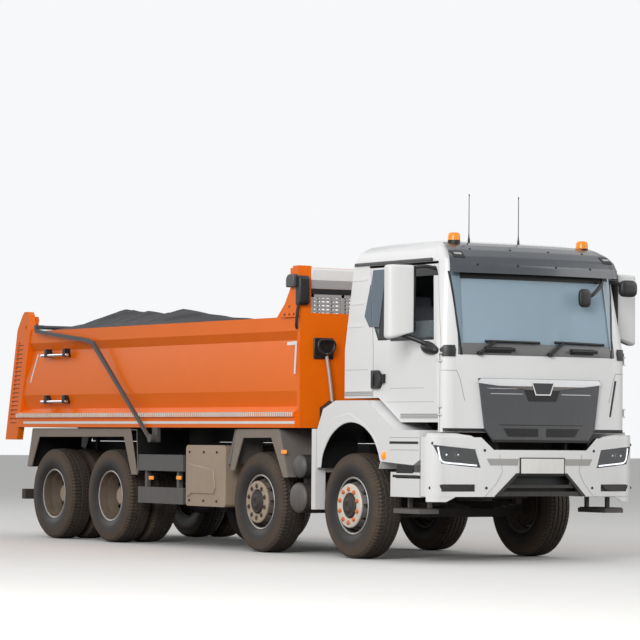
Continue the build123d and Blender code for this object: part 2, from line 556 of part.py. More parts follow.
cab_outer = cab_form(0, 0)
cab_inner = cab_form(CAB_WALL, CAB_WALL)
cab_skin = cab_outer - cab_inner
WIDE = CAB_HALF_WIDTH + 100
arch_cut = side_prism([(CAB_REAR - 50, 1000), (CAB_REAR - 50, CAB_REAR_BOTTOM), (ARCH_STEP_REAR, CAB_REAR_BOTTOM),
                       (ARCH_STEP_FRONT, CAB_UNDERSIDE), (FRONT_APRON_REAR, CAB_UNDERSIDE),
                       (FRONT_APRON_REAR, 1000)], -WIDE, WIDE)
cab_skin -= arch_cut

door_gap = [(DOOR_REAR_LOW, 1000), (DOOR_REAR_LOW, CAB_WAIST), (DOOR_REAR_HIGH, DOOR_TOP),
            (DOOR_FRONT_TOP, DOOR_TOP), (DOOR_FRONT, CAB_WAIST + 30), (DOOR_FRONT, 1000)]
G = PANEL_GAP
door_outline = [(DOOR_REAR_LOW + G, 1000), (DOOR_REAR_LOW + G, CAB_WAIST), (DOOR_REAR_HIGH + G, DOOR_TOP - G),
                (DOOR_FRONT_TOP - G, DOOR_TOP - G), (DOOR_FRONT - G, CAB_WAIST + 30), (DOOR_FRONT - G, 1000)]
door_window = [(WINDOW_REAR, WINDOW_BASE), (WINDOW_REAR, WINDOW_TOP), (WINDOW_FRONT_TOP, WINDOW_TOP),
               (WINDOW_FRONT, WINDOW_BASE)]
quarter_window = [(QUARTER_REAR, WINDOW_BASE + 150), (QUARTER_REAR, WINDOW_TOP), (QUARTER_FRONT, WINDOW_TOP),
                  (QUARTER_FRONT, WINDOW_BASE), (QUARTER_REAR + 110, WINDOW_BASE)]
screen_outline = [(-SCREEN_BASE_HALF, WINDSCREEN_BASE), (SCREEN_BASE_HALF, WINDSCREEN_BASE),
                  (SCREEN_TOP_HALF, WINDSCREEN_TOP), (-SCREEN_TOP_HALF, WINDSCREEN_TOP)]
flap_outline = [(-FLAP_TOP_HALF, FLAP_TOP), (FLAP_TOP_HALF, FLAP_TOP), (FLAP_LOW_HALF, FLAP_WAIST),
                (FLAP_LIP_HALF, FLAP_BOTTOM), (-FLAP_LIP_HALF, FLAP_BOTTOM), (-FLAP_LOW_HALF, FLAP_WAIST)]


def front_prism(points, x_low, x_high):
    """A loose prism of a y, z outline, to cut the cab's forms with."""
    with BuildPart() as prism:
        prism_yz(points, x_low, x_high)
    return prism.part


screen_prism = front_prism(screen_outline, AXLE_1 + 1200, CAB_NOSE + 100)
door_gap_prism = side_prism(door_gap, -WIDE, WIDE)
roof_prism = side_prism([(CAB_REAR - 50, ROOF_SEAM), (CAB_REAR - 50, ROOF_TOP + 50), (CAB_NOSE + 50, ROOF_TOP + 50),
                         (CAB_NOSE + 50, ROOF_SEAM)], -WIDE, WIDE)
rear_prism = side_prism([(CAB_REAR - 50, 1000), (CAB_REAR - 50, ROOF_SEAM), (AXLE_1 + 700, ROOF_SEAM),
                         (AXLE_1 + 700, 1000)], -WIDE, WIDE)
front_zone = side_prism([(AXLE_1 + 700, 1000), (AXLE_1 + 700, ROOF_SEAM), (CAB_NOSE + 50, ROOF_SEAM),
                         (CAB_NOSE + 50, 1000)], -WIDE, WIDE)

# Roof above the seam, with the headers over the doors.
cab_roof = cab_skin & roof_prism
cab_roof.label = "cab_roof"
export_step(cab_roof, "parts/cab_roof.step")

# Rear wall with the quarter panels beside it, as far as the doors.
cab_rear = (cab_skin & rear_prism) - door_gap_prism
for side in (-1, 1):
    cab_rear -= side_prism([(AXLE_1 + 60, DOOR_TOP), (AXLE_1 + 60, ROOF_SEAM + 1), (AXLE_1 + 701, ROOF_SEAM + 1),
                            (AXLE_1 + 701, DOOR_TOP)], -WIDE, WIDE)
cab_rear.label = "cab_rear"
export_step(cab_rear, "parts/cab_rear.step")

# Front panel and windscreen pillars.
cab_front = ((cab_skin & front_zone) - door_gap_prism) - screen_prism
cab_front -= side_prism([(AXLE_1 + 699, DOOR_TOP), (AXLE_1 + 699, ROOF_SEAM + 1), (DOOR_FRONT_TOP, ROOF_SEAM + 1),
                         (DOOR_FRONT_TOP, DOOR_TOP)], -WIDE, WIDE)
mouth_top = FLAP_TOP_HALF - 2 * FLAP_OVERLAP
mouth_low = FLAP_LOW_HALF - 2 * FLAP_OVERLAP
cab_front -= front_prism([(-mouth_top, FLAP_TOP - FLAP_OVERLAP), (mouth_top, FLAP_TOP - FLAP_OVERLAP),
                          (mouth_low, FLAP_WAIST + FLAP_OVERLAP), (MOUTH_LIP_HALF, FLAP_WAIST + FLAP_OVERLAP),
                          (MOUTH_LIP_HALF, 1200), (-MOUTH_LIP_HALF, 1200),
                          (-MOUTH_LIP_HALF, FLAP_WAIST + FLAP_OVERLAP), (-mouth_low, FLAP_WAIST + FLAP_OVERLAP)],
                         FLAP_BACK, CAB_NOSE + 100)
# Hinge ears with their pins, in two pairs a side.
for side in (-1, 1):
    for z in HINGE_LEVELS:
        for end in (-1, 1):
            ear_z = z + end * (HINGE_HALF + 8)
            cab_front += Pos(HINGE_X + 4, side * (HINGE_Y + 1), ear_z) * Box(12, 12, 15)
            cab_front += Pos(HINGE_X + 19, side * (HINGE_Y - 14), ear_z) * Box(20, 40, 15)
        cab_front += Pos(HINGE_X, side * HINGE_Y, z) * Cylinder(HINGE_PIN_RADIUS, 2 * HINGE_HALF + 20)
cab_front.label = "cab_front"
export_step(cab_front, "parts/cab_front.step")

# Floor pan inside the walls, with lugs for the tilt pins.
with BuildPart() as cab_floor:
    with BuildSketch(Plane.XZ.offset(CAB_HALF_WIDTH + 10)) as pan:
        with BuildLine():
            Polyline((CAB_REAR, CAB_REAR_BOTTOM), (ARCH_STEP_REAR, CAB_REAR_BOTTOM),
                     (ARCH_STEP_FRONT, CAB_UNDERSIDE), (FRONT_APRON_REAR, CAB_UNDERSIDE),
                     (CAB_NOSE, CAB_UNDERSIDE), (CAB_NOSE, CAB_UNDERSIDE + SILL_HEIGHT),
                     (ARCH_STEP_FRONT + 20, CAB_UNDERSIDE + SILL_HEIGHT),
                     (ARCH_STEP_REAR + 30, CAB_REAR_BOTTOM + SILL_HEIGHT),
                     (CAB_REAR, CAB_REAR_BOTTOM + SILL_HEIGHT), close=True)
        make_face()
    extrude(amount=-2 * (CAB_HALF_WIDTH + 10))
    add(cab_form(CAB_WALL + 0.3, CAB_WALL), mode=Mode.INTERSECT)
    for side in (-1, 1):
        prism_xz([(TILT_PIVOT_X - 150, CAB_UNDERSIDE + 20), (TILT_PIVOT_X - 26, TILT_PIVOT_Z - 26),
                  (TILT_PIVOT_X + 26, TILT_PIVOT_Z - 26), (TILT_PIVOT_X + 26, TILT_PIVOT_Z + 30),
                  (FRONT_APRON_REAR, CAB_UNDERSIDE + 20)], side * (RAIL_OUTER_Y + 8), side * (RAIL_OUTER_Y + 38))
        rod_y(TILT_PIVOT_X, TILT_PIVOT_Z, TILT_PIN_RADIUS + PIN_CLEARANCE, side * RAIL_OUTER_Y,
              side * (RAIL_OUTER_Y + 60), mode=Mode.SUBTRACT)
cab_floor.part.label = "cab_floor"
export_step(cab_floor.part, "parts/cab_floor.step")

# Windscreen set into its opening.
pane = (cab_form(GLASS_SET_IN, 0) - cab_form(GLASS_SET_IN + GLASS_THICKNESS, 0)) & front_prism(
    [(-SCREEN_BASE_HALF + 0.3, WINDSCREEN_BASE + 0.3), (SCREEN_BASE_HALF - 0.3, WINDSCREEN_BASE + 0.3),
     (SCREEN_TOP_HALF - 0.3, WINDSCREEN_TOP - 0.3), (-SCREEN_TOP_HALF + 0.3, WINDSCREEN_TOP - 0.3)],
    AXLE_1 + 1200, CAB_NOSE + 100)
pane.label = "windscreen"
export_step(pane, "parts/windscreen.step")

# Doors cut from the cab's side walls, with their glass, handles and mirrors.
door_core = cab_form(CAB_WALL - DOOR_SWING_GAP, CAB_WALL, DOOR_CORE_CORNER)
door_zone = ((cab_outer - door_core) - arch_cut) & side_prism(door_outline, -WIDE, -800)
glass_zone = cab_form(GLASS_SET_IN, 0) - cab_form(GLASS_SET_IN + GLASS_THICKNESS, 0)
for side, word in ((-1, "right"), (1, "left")):
    door = door_zone - side_prism(door_window, -WIDE, WIDE) - side_prism(quarter_window, -WIDE, WIDE)
    glass_top = LOWERED_GLASS_TOP if word == "right" else WINDOW_TOP
    lean = (glass_top - WINDOW_BASE) / (WINDOW_TOP - WINDOW_BASE)
    c = GLASS_CLEARANCE
    glass = (glass_zone & side_prism([(WINDOW_REAR + c, WINDOW_BASE + c), (WINDOW_REAR + c, glass_top - c),
                                      (WINDOW_FRONT + lean * (WINDOW_FRONT_TOP - WINDOW_FRONT) - c, glass_top - c),
                                      (WINDOW_FRONT - c, WINDOW_BASE + c)], -WIDE, -800))
    quarter = (glass_zone & side_prism([(QUARTER_REAR + c, WINDOW_BASE + 150 + c), (QUARTER_REAR + c, WINDOW_TOP - c),
                                        (QUARTER_FRONT - c, WINDOW_TOP - c), (QUARTER_FRONT - c, WINDOW_BASE + c),
                                        (QUARTER_REAR + 110 + c, WINDOW_BASE + c)], -WIDE, -800))
    handle = Pos(DOOR_REAR_LOW + 130, -(CAB_HALF_WIDTH + 6), 1800) * Box(200, 40, 90)
    door = door + handle
    for z in HINGE_LEVELS:
        leaf = Pos(HINGE_X - 24, -(HINGE_Y - 10), z) * Box(48, 26, 2 * HINGE_HALF)
        leaf += Pos(HINGE_X, -HINGE_Y, z) * Cylinder(2 * HINGE_PIN_RADIUS, 2 * HINGE_HALF)
        door += leaf - Pos(HINGE_X, -HINGE_Y, z) * Cylinder(HINGE_PIN_RADIUS + PIN_CLEARANCE, 3 * HINGE_HALF)
    panes = Compound(children=[glass, quarter])
    head = Pos(MIRROR_X, -(MIRROR_OUTER + MIRROR_INNER) / 2, (MIRROR_LOW + MIRROR_HIGH) / 2) * Box(
        110, MIRROR_OUTER - MIRROR_INNER, MIRROR_HIGH - MIRROR_LOW)
    head = fillet(head.edges().filter_by(Axis.Z), 30)
    arms = [Pos(MIRROR_X + 20, -(MIRROR_INNER + 1040) / 2 - 20, z) * Box(34, MIRROR_INNER - 1040 + 60, 30)
            for z in (MIRROR_LOW + 120, MIRROR_HIGH - 90)]
    mirror_part = head + arms[0] + arms[1]
    mirror_part -= cab_outer
    if side > 0:
        door, panes, mirror_part = (mirror(piece, about=Plane.XZ) for piece in (door, panes, mirror_part))
    for piece, node in ((door, f"door_{word}"), (panes, f"door_glass_{word}"), (mirror_part, f"mirror_{word}")):
        piece.label = node
        export_step(piece, f"parts/{node}.step")

# Grille flap hung along its top edge, following the cab's crown down past its lower edge.
with BuildPart() as flap_outer_form:
    for z in (FLAP_BOTTOM - 10, FLAP_TOP + 10):
        with BuildSketch(Plane.XY.offset(z)):
            crowned_plan(CAB_REAR, CAB_NOSE, CAB_HALF_WIDTH, CAB_CORNER_RADIUS, CAB_CROWN, -FLAP_THICKNESS)
    loft(ruled=True)
with BuildPart() as flap_inner_form:
    for z in (FLAP_BOTTOM - 20, FLAP_TOP + 20):
        with BuildSketch(Plane.XY.offset(z)):
            crowned_plan(CAB_REAR, CAB_NOSE, CAB_HALF_WIDTH, CAB_CORNER_RADIUS, CAB_CROWN, -SEAT_CLEARANCE)
    loft(ruled=True)
flap_form = flap_outer_form.part - flap_inner_form.part
grille_flap = flap_form & front_prism(flap_outline, FLAP_BACK, CAB_NOSE + 100)
grille_flap.label = "grille_flap"
export_step(grille_flap, "parts/grille_flap.step")

# Dashboard and two seats.
with BuildPart() as dashboard:
    prism_xz([(AXLE_1 + 1150, 1900), (AXLE_1 + 1200, 2080), (AXLE_1 + 1480, 2000), (AXLE_1 + 1500, 1700),
              (AXLE_1 + 1250, 1650)], -1040, 1040)
    add(cab_form(CAB_WALL + 0.3, CAB_WALL), mode=Mode.INTERSECT)
    with Locations(Location((AXLE_1 + 1080, -560, 2060), (0, -60, 0))):
        Cylinder(215, 30)
        Cylinder(185, 40, mode=Mode.SUBTRACT)
        Box(30, 400, 14)
    rod = Location((AXLE_1 + 1140, -560, 2005), (0, -60, 0))
    with Locations(rod):
        Cylinder(25, 160)
dashboard.part.label = "dashboard"
export_step(dashboard.part, "parts/dashboard.step")

with BuildPart() as seats:
    for y in (-560, 560):
        block(AXLE_1 + 330, AXLE_1 + 830, y - 240, y + 240, 1900, 2010)
        prism_xz([(AXLE_1 + 330, 1960), (AXLE_1 + 440, 1960), (AXLE_1 + 330, 2640), (AXLE_1 + 230, 2640)],
                 y + 230, y - 230)
        prism_xz([(ARCH_STEP_REAR + 30, 1901), (ARCH_STEP_REAR + 330, 1901),
                  (ARCH_STEP_REAR + 330, CAB_REAR_BOTTOM + SILL_HEIGHT - 300 * PAN_SLOPE),
                  (ARCH_STEP_REAR + 30, CAB_REAR_BOTTOM + SILL_HEIGHT)], y + 170, y - 170)
seats.part.label = "seats"
export_step(seats.part, "parts/seats.step")

# Dark visor over the windscreen.
visor_form = cab_form(-VISOR_STAND_OFF - 12, 0) - cab_form(-VISOR_STAND_OFF, 0)
sun_visor = visor_form & front_prism([(-VISOR_HALF, VISOR_BOTTOM), (VISOR_HALF, VISOR_BOTTOM),
                                      (VISOR_HALF - 30, VISOR_TOP), (-VISOR_HALF + 30, VISOR_TOP)],
                                     AXLE_1 + 1250, CAB_NOSE + 200)
for y in (-700, 0, 700):
    stay = Pos(AXLE_1 + 1450, y, VISOR_TOP - 40) * Box(240, 16, 20)
    sun_visor = sun_visor + (stay - cab_outer)
sun_visor = sun_visor & (Pos(AXLE_1 + 1500, 0, CAB_EAVES) * Box(560, 2 * VISOR_HALF, 400))
sun_visor.label = "sun_visor"
export_step(sun_visor, "parts/sun_visor.step")

# Beacons and aerials on the roof.
with BuildPart() as beacons:
    for y in (-780, 780):
        block(BEACON_X - 80, BEACON_X + 80, y - 33, y + 33, ROOF_TOP - 90, ROOF_TOP + 34)
    for y in (-660, -70):
        rod_z(BEACON_X - 60, y, 5, ROOF_TOP - 90, ROOF_TOP + 500)
    add(cab_outer, mode=Mode.SUBTRACT)
beacons.part.label = "beacons"
export_step(beacons.part, "parts/beacons.step")

# Bumper shell, crowned in plan, with its lamp pockets and the middle opening.
with BuildPart() as bumper:
    with BuildSketch(Plane.XY.offset(BUMPER_BOTTOM)):
        crowned_plan(BUMPER_REAR, FRONT_X, BUMPER_HALF_WIDTH, BUMPER_CORNER_RADIUS, BUMPER_CROWN)
    extrude(amount=BUMPER_TOP - BUMPER_BOTTOM)
    with BuildSketch(Plane.XY.offset(BUMPER_BOTTOM - 1)) as hollow:
        crowned_plan(BUMPER_REAR - 200, FRONT_X, BUMPER_HALF_WIDTH, BUMPER_CORNER_RADIUS, BUMPER_CROWN,
                     inset=BUMPER_WALL)
    extrude(hollow.sketch, amount=BUMPER_TOP - BUMPER_BOTTOM + 2, mode=Mode.SUBTRACT)
    prism_yz([(-700, BUMPER_TOP + 1), (-560, BUMPER_MID_TOP), (560, BUMPER_MID_TOP), (700, BUMPER_TOP + 1)],
             BUMPER_REAR - 50, FRONT_X + 50, mode=Mode.SUBTRACT)
    prism_yz([(-300, 880), (300, 880), (550, BUMPER_BOTTOM - 1), (-550, BUMPER_BOTTOM - 1)],
             BUMPER_REAR - 50, FRONT_X + 50, mode=Mode.SUBTRACT)
    for side in (-1, 1):
        prism_yz([(side * y, z) for y, z in HEADLAMP], BUMPER_REAR + 20, FRONT_X + 50, mode=Mode.SUBTRACT)
        block(BUMPER_REAR + 20, FRONT_X + 50, side * 1120, side * 760, 700, 770, mode=Mode.SUBTRACT)
        # Brackets back to the tilt arms.
        block(TILT_PIVOT_X - 100, FRONT_X - 60, side * RAIL_OUTER_Y, side * (RAIL_OUTER_Y + 30), 900, 1020)
bumper.part.label = "bumper"
export_step(bumper.part, "parts/bumper.step")

with BuildPart() as lamps:
    with BuildSketch(Plane.XY.offset(BUMPER_BOTTOM)):
        crowned_plan(BUMPER_REAR + 30, FRONT_X, BUMPER_HALF_WIDTH, BUMPER_CORNER_RADIUS, BUMPER_CROWN, inset=10)
    extrude(amount=BUMPER_TOP - BUMPER_BOTTOM)
    with BuildSketch(Plane.XY.offset(BUMPER_BOTTOM - 1)) as lamp_back:
        crowned_plan(BUMPER_REAR - 200, FRONT_X, BUMPER_HALF_WIDTH, BUMPER_CORNER_RADIUS, BUMPER_CROWN, inset=60)
    extrude(lamp_back.sketch, amount=BUMPER_TOP - BUMPER_BOTTOM + 2, mode=Mode.SUBTRACT)
    with BuildSketch(Plane.YZ.offset(BUMPER_REAR - 60)) as lamp_windows:
        for side in (-1, 1):
            with BuildLine():
                Polyline(*[(side * y, z) for y, z in HEADLAMP], close=True)
            make_face()
            with Locations((side * 940, 735)):
                Rectangle(360, 70)
        offset(amount=-LAMP_FIT)
    extrude(lamp_windows.sketch, amount=700, mode=Mode.INTERSECT)
lamps.part.label = "lamps"
export_step(lamps.part, "parts/lamps.step")

# Front fenders: arch skins with an outer lip, the step boxes and the lowest tread.
with BuildPart() as front_fenders:
    for side in (-1, 1):
        low_y, high_y = side * FENDER_INNER_Y, side * FENDER_Y
        prism_xz([(AXLE_1 + x, z) for x, z in FENDER_OUTLINE], low_y, high_y)
        prism_xz([(AXLE_1 + x, z) for x, z in FENDER_HOLLOW], side * (FENDER_INNER_Y - 1),
                 side * (FENDER_Y + 1), mode=Mode.SUBTRACT)
        block(AXLE_1 + 820, AXLE_1 + 1320, side * 900, side * FENDER_Y, 640, 880)
        block(AXLE_1 + 900, AXLE_1 + 1330, side * 1130, side * (FENDER_Y + 1), 820, 850, mode=Mode.SUBTRACT)
        block(AXLE_1 + 860, AXLE_1 + 1300, side * 940, side * 1000, 870, 990)
        block(AXLE_1 + 860, AXLE_1 + 1310, side * 1010, side * (FENDER_Y - 10), 480, 525)
        for x in (900, 1240):
            block(AXLE_1 + x, AXLE_1 + x + 30, side * 1060, side * 1100, 520, 650)
        block(AXLE_1 + 860, AXLE_1 + 940, side * RAIL_OUTER_Y, side * 910, 760, 840)
        block(AXLE_1 - 640, AXLE_1 - 565, side * 1130, side * FENDER_Y, 480, 1300)
        block(AXLE_1 - 640, AXLE_1 - 600, side * RAIL_OUTER_Y, side * 1140, 860, 930)
front_fenders.part.label = "front_fenders"
export_step(front_fenders.part, "parts/front_fenders.step")

# Mudguards over the second axle and the driven axles.
with BuildPart() as mudguards:
    for side in (-1, 1):
        for outline, inner_y in ((SECOND_GUARD, 880), (REAR_GUARD, 580)):
            outer = [(AXLE_1 + x, z) for x, z in outline]
            prism_xz(outer, side * inner_y, side * FENDER_Y)
            inner = [(x + math.copysign(GUARD_SKIN, (outer[0][0] + outer[-1][0]) / 2 - x),
                      z - (GUARD_SKIN if z > 1000 else -40)) for x, z in outer]
            prism_xz([(inner[0][0], inner[0][1] - 200)] + inner[1:-1] + [(inner[-1][0], inner[-1][1] - 200)],
                     side * (inner_y - 1), side * (FENDER_Y + 1), mode=Mode.SUBTRACT)
        for x in (AXLE_2, AXLE_3 + 300, AXLE_4 - 300):
            block(x - 20, x + 20, side * RAIL_OUTER_Y, side * (RAIL_OUTER_Y + 55), RAIL_TOP - 100, RAIL_TOP - 20)
            block(x - 20, x + 20, side * (RAIL_OUTER_Y + 15), side * (RAIL_OUTER_Y + 55), RAIL_TOP - 100, 1278)
            block(x - 20, x + 20, side * (RAIL_OUTER_Y + 15), side * 1150, 1238, 1278)
mudguards.part.label = "mudguards"
export_step(mudguards.part, "parts/mudguards.step")

with BuildPart() as side_guards:
    for side in (-1, 1):
        for z in (470, 830):
            block(AXLE_1 - 4300, AXLE_1 - 3290, side * (FENDER_Y - 32), side * FENDER_Y, z, z + 180)
        for x in (-4200, -3480):
            block(AXLE_1 + x, AXLE_1 + x + 50, side * (FENDER_Y - 80), side * (FENDER_Y - 32), 470, 1010)
            block(AXLE_1 + x, AXLE_1 + x + 50, side * RAIL_OUTER_Y, side * (FENDER_Y - 70), 880, 940)
side_guards.part.label = "side_guards"
export_step(side_guards.part, "parts/side_guards.step")

with BuildPart() as exhaust_box:
    block(AXLE_1 - 3250, AXLE_1 - 2390, -1235, -620, 460, 1120)
    fillet(exhaust_box.edges().filter_by(Axis.Y), 45)
    for x in (-3100, -2600):
        block(AXLE_1 + x, AXLE_1 + x + 60, -640, -RAIL_OUTER_Y, 780, 860)
exhaust_box.part.label = "exhaust_box"
export_step(exhaust_box.part, "parts/exhaust_box.step")

with BuildPart() as fuel_tank:
    block(AXLE_1 - 3250, AXLE_1 - 2390, 600, 1225, 440, 1100)
    fillet(fuel_tank.edges().filter_by(Axis.X), 110)
    for x in (-3100, -2600):
        block(AXLE_1 + x, AXLE_1 + x + 60, RAIL_OUTER_Y, 640, 780, 860)
fuel_tank.part.label = "fuel_tank"
export_step(fuel_tank.part, "parts/fuel_tank.step")

with BuildPart() as air_tanks:
    for side in (-1, 1):
        rod_y(AXLE_1 - 995, 590, 155, side * 560, side * 1180)
        rod_y(AXLE_1 - 970, 915, 120, side * 560, side * 1180)
        block(AXLE_1 - 1025, AXLE_1 - 965, side * 600, side * 1100, 730, 810)
        block(AXLE_1 - 1025, AXLE_1 - 965, side * RAIL_OUTER_Y, side * 700, 780, 860)
air_tanks.part.label = "air_tanks"
export_step(air_tanks.part, "parts/air_tanks.step")

# Tipping body: folded side walls, floor on cross-bearers, runners, posts and hinge lugs.
with BuildPart() as tub:
    outline = [(y, z) for y, z in BODY_SECTION] + [(-y, z) for y, z in reversed(BODY_SECTION)]
    prism_yz(outline, BODY_REAR_BOTTOM - 20, BODY_FRONT - HEADBOARD_THICKNESS)
    prism_yz([(-INNER_HALF, BODY_TOP + 1), (INNER_HALF, BODY_TOP + 1), (INNER_HALF, BODY_FLOOR_TOP + 110),
              (INNER_HALF - 70, BODY_FLOOR_TOP), (-INNER_HALF + 70, BODY_FLOOR_TOP),
              (-INNER_HALF, BODY_FLOOR_TOP + 110)], BODY_REAR_BOTTOM - 21, BODY_FRONT, mode=Mode.SUBTRACT)
    block(BODY_REAR_BOTTOM - 21, BODY_FRONT, -INNER_HALF, INNER_HALF, BODY_BOTTOM - 1,
          BODY_FLOOR_TOP - FLOOR_PLATE, mode=Mode.SUBTRACT)
    prism_xz([(BODY_REAR_TOP, BODY_TOP + 1), (BODY_REAR_BOTTOM - 30, BODY_BOTTOM - 1),
              (BODY_REAR_BOTTOM - 30, BODY_TOP + 1)], -1400, 1400, mode=Mode.SUBTRACT)
    for index in range(BEARER_COUNT):
        x = BODY_FRONT - 200 - index * (BODY_FRONT - BODY_REAR_BOTTOM - 320) / (BEARER_COUNT - 1)
        block(x - 30, x + 30, -INNER_HALF - 5, INNER_HALF + 5, BODY_BOTTOM, BODY_FLOOR_TOP - FLOOR_PLATE)
    for side in (-1, 1):
        block(TIP_PIVOT_X + 120, BODY_FRONT - 130, side * (RUNNER_Y - RUNNER_WIDTH / 2),
              side * (RUNNER_Y + RUNNER_WIDTH / 2), SUBFRAME_TOP + RUNNER_GAP, BODY_FLOOR_TOP - FLOOR_PLATE)
        prism_xz([(TIP_PIVOT_X - 120, BODY_FLOOR_TOP - FLOOR_PLATE), (TIP_PIVOT_X - 60, TIP_PIVOT_Z - 60),
                  (TIP_PIVOT_X + 60, TIP_PIVOT_Z - 60), (TIP_PIVOT_X + 320, BODY_FLOOR_TOP - FLOOR_PLATE)],
                 side * (RAIL_OUTER_Y + 45), side * (RAIL_OUTER_Y + 95))
        rod_y(TIP_PIVOT_X, TIP_PIVOT_Z, TIP_PIN_RADIUS + PIN_CLEARANCE, side * (RAIL_OUTER_Y + 40),
              side * (RAIL_OUTER_Y + 100), mode=Mode.SUBTRACT)
        # Leaning rear post with its ear for the tailgate pin.
        prism_xz(POST_OUTLINE, side * (POST_Y - 80), side * POST_Y)
        for slot in range(POST_SLOTS):
            z = SLOT_LOW + slot * SLOT_PITCH
            slot_x = BODY_REAR_BOTTOM - POST_WIDTH + (z - POST_BOTTOM) * POST_LEAN
            block(slot_x + 60, slot_x + 120, side * (POST_Y - 14), side * (POST_Y + 1), z, z + 24,
                  mode=Mode.SUBTRACT)
        rod_y(GATE_PIVOT_X + 10, GATE_PIVOT_Z - 90, 24, side * (POST_Y - 90), side * (POST_Y + 10),
              mode=Mode.SUBTRACT)
        rod_y(GATE_PIVOT_X, GATE_PIVOT_Z, GATE_PIN_RADIUS, side * (POST_Y - 170), side * (POST_Y - 70))
        for z in (2155, 1610):
            rod_x(side * 1300, z, 14, AXLE_1 - 6590, AXLE_1 - 5980)
            for x in (-6570, -6000):
                rod_y(AXLE_1 + x, z, 12, side * 1180, side * 1300)
tub.part.label = "tub"
export_step(tub.part, "parts/tub.step")

with BuildPart() as tailgate:
    prism_xz(GATE_OUTLINE, -GATE_HALF, GATE_HALF)
    for side in (-1, 1):
        prism_xz([(GATE_PIVOT_X - 45, GATE_PIVOT_Z + 45), (GATE_PIVOT_X + 45, GATE_PIVOT_Z + 45),
                  (GATE_PIVOT_X + 45, GATE_PIVOT_Z - 45), (GATE_TOP_X + 60, GATE_TOP - 30),
                  (GATE_TOP_X - 20, GATE_TOP - 60)], side * (POST_Y - 150), side * (POST_Y - 105))
        rod_y(GATE_PIVOT_X, GATE_PIVOT_Z, GATE_PIN_RADIUS + PIN_CLEARANCE, side * (POST_Y - 200),
              side * (POST_Y - 60), mode=Mode.SUBTRACT)
tailgate.part.label = "tailgate"
export_step(tailgate.part, "parts/tailgate.step")

with BuildPart() as headboard:
    block(BODY_FRONT - HEADBOARD_THICKNESS, BODY_FRONT, -1260, 1260, BODY_BOTTOM, BODY_TOP)
    for side in (-1, 1):
        block(BODY_FRONT - 120, BODY_FRONT, side * 1130, side * 1280, BODY_TOP, HEADBOARD_TOP)
        prism_xz([(BODY_FRONT - 460, BODY_TOP), (BODY_FRONT - 110, BODY_TOP), (BODY_FRONT - 110, 2770)],
                 side * 1218, side * 1260)
    block(BODY_FRONT - 120, BODY_FRONT, -1140, 1140, BODY_TOP, BODY_TOP + 40)
    block(BODY_FRONT - 200, BODY_FRONT, -1260, 1260, 2740, 2960)
    for index in range(13):
        y = -1020 + index * 170
        block(BODY_FRONT - 60, BODY_FRONT - 40, y - 8, y + 8, BODY_TOP, 2745)
    for side in (-1, 1):
        prism_xz([(BODY_FRONT, HOIST_EYE_Z - 60), (BODY_FRONT, HOIST_EYE_Z + 220),
                  (HOIST_X + 60, HOIST_EYE_Z + 70), (HOIST_X + 60, HOIST_EYE_Z - 60)],
                 side * (HOIST_JAW_HALF + 6), side * (HOIST_JAW_HALF + 36))
        rod_y(HOIST_X, HOIST_EYE_Z, 34, side * (HOIST_JAW_HALF + 30), side * (HOIST_JAW_HALF + 60))
headboard.part.label = "headboard"
export_step(headboard.part, "parts/headboard.step")

# Sheet over the body, which humps over the load's heaps at the back and lies low in front.
with BuildPart() as sheet:
    for x, rise in SHEET_RISES:
        with BuildSketch(Plane.YZ.offset(x)):
            with BuildLine():
                Polyline((-SHEET_HALF, BODY_TOP), (-SHEET_HALF, BODY_TOP + SHEET_HEM), (-700, BODY_TOP + rise),
                         (0, BODY_TOP + rise + 10), (700, BODY_TOP + rise), (SHEET_HALF, BODY_TOP + SHEET_HEM),
                         (SHEET_HALF, BODY_TOP), (SHEET_HALF - 30, BODY_TOP), (700, BODY_TOP + rise - SHEET_HEM),
                         (0, BODY_TOP + rise + 10 - SHEET_HEM), (-700, BODY_TOP + rise - SHEET_HEM),
                         (-SHEET_HALF + 30, BODY_TOP), close=True)
            make_face()
    loft(ruled=True)
sheet.part.label = "sheet"
export_step(sheet.part, "parts/sheet.step")

with BuildPart() as sheet_arms:
    for side in (-1, 1):
        y_low, y_high = side * 1308, side * 1340
        prism_xz([(AXLE_1 - 3855, 1160), (AXLE_1 - 3905, 1160), (AXLE_1 - 5300, 2262), (AXLE_1 - 5430, 2290),
                  (AXLE_1 - 6730, 2432), (AXLE_1 - 6730, 2472), (AXLE_1 - 5400, 2332),
                  (AXLE_1 - 5262, 2294)], y_low, y_high)
        block(AXLE_1 - 6750, AXLE_1 - 6700, side * 1230, side * 1340, 2470, 2520)
        rod_y(AXLE_1 - 3880, 1190, 45, side * 1240, side * 1350)
        block(AXLE_1 - 3940, AXLE_1 - 3820, side * 1240, side * BODY_RAIL_HALF, 1150, BODY_BOTTOM)
    rod_y(AXLE_1 - 6725, 2495, 24, -1235, 1235)
sheet_arms.part.label = "sheet_arms"
export_step(sheet_arms.part, "parts/sheet_arms.step")

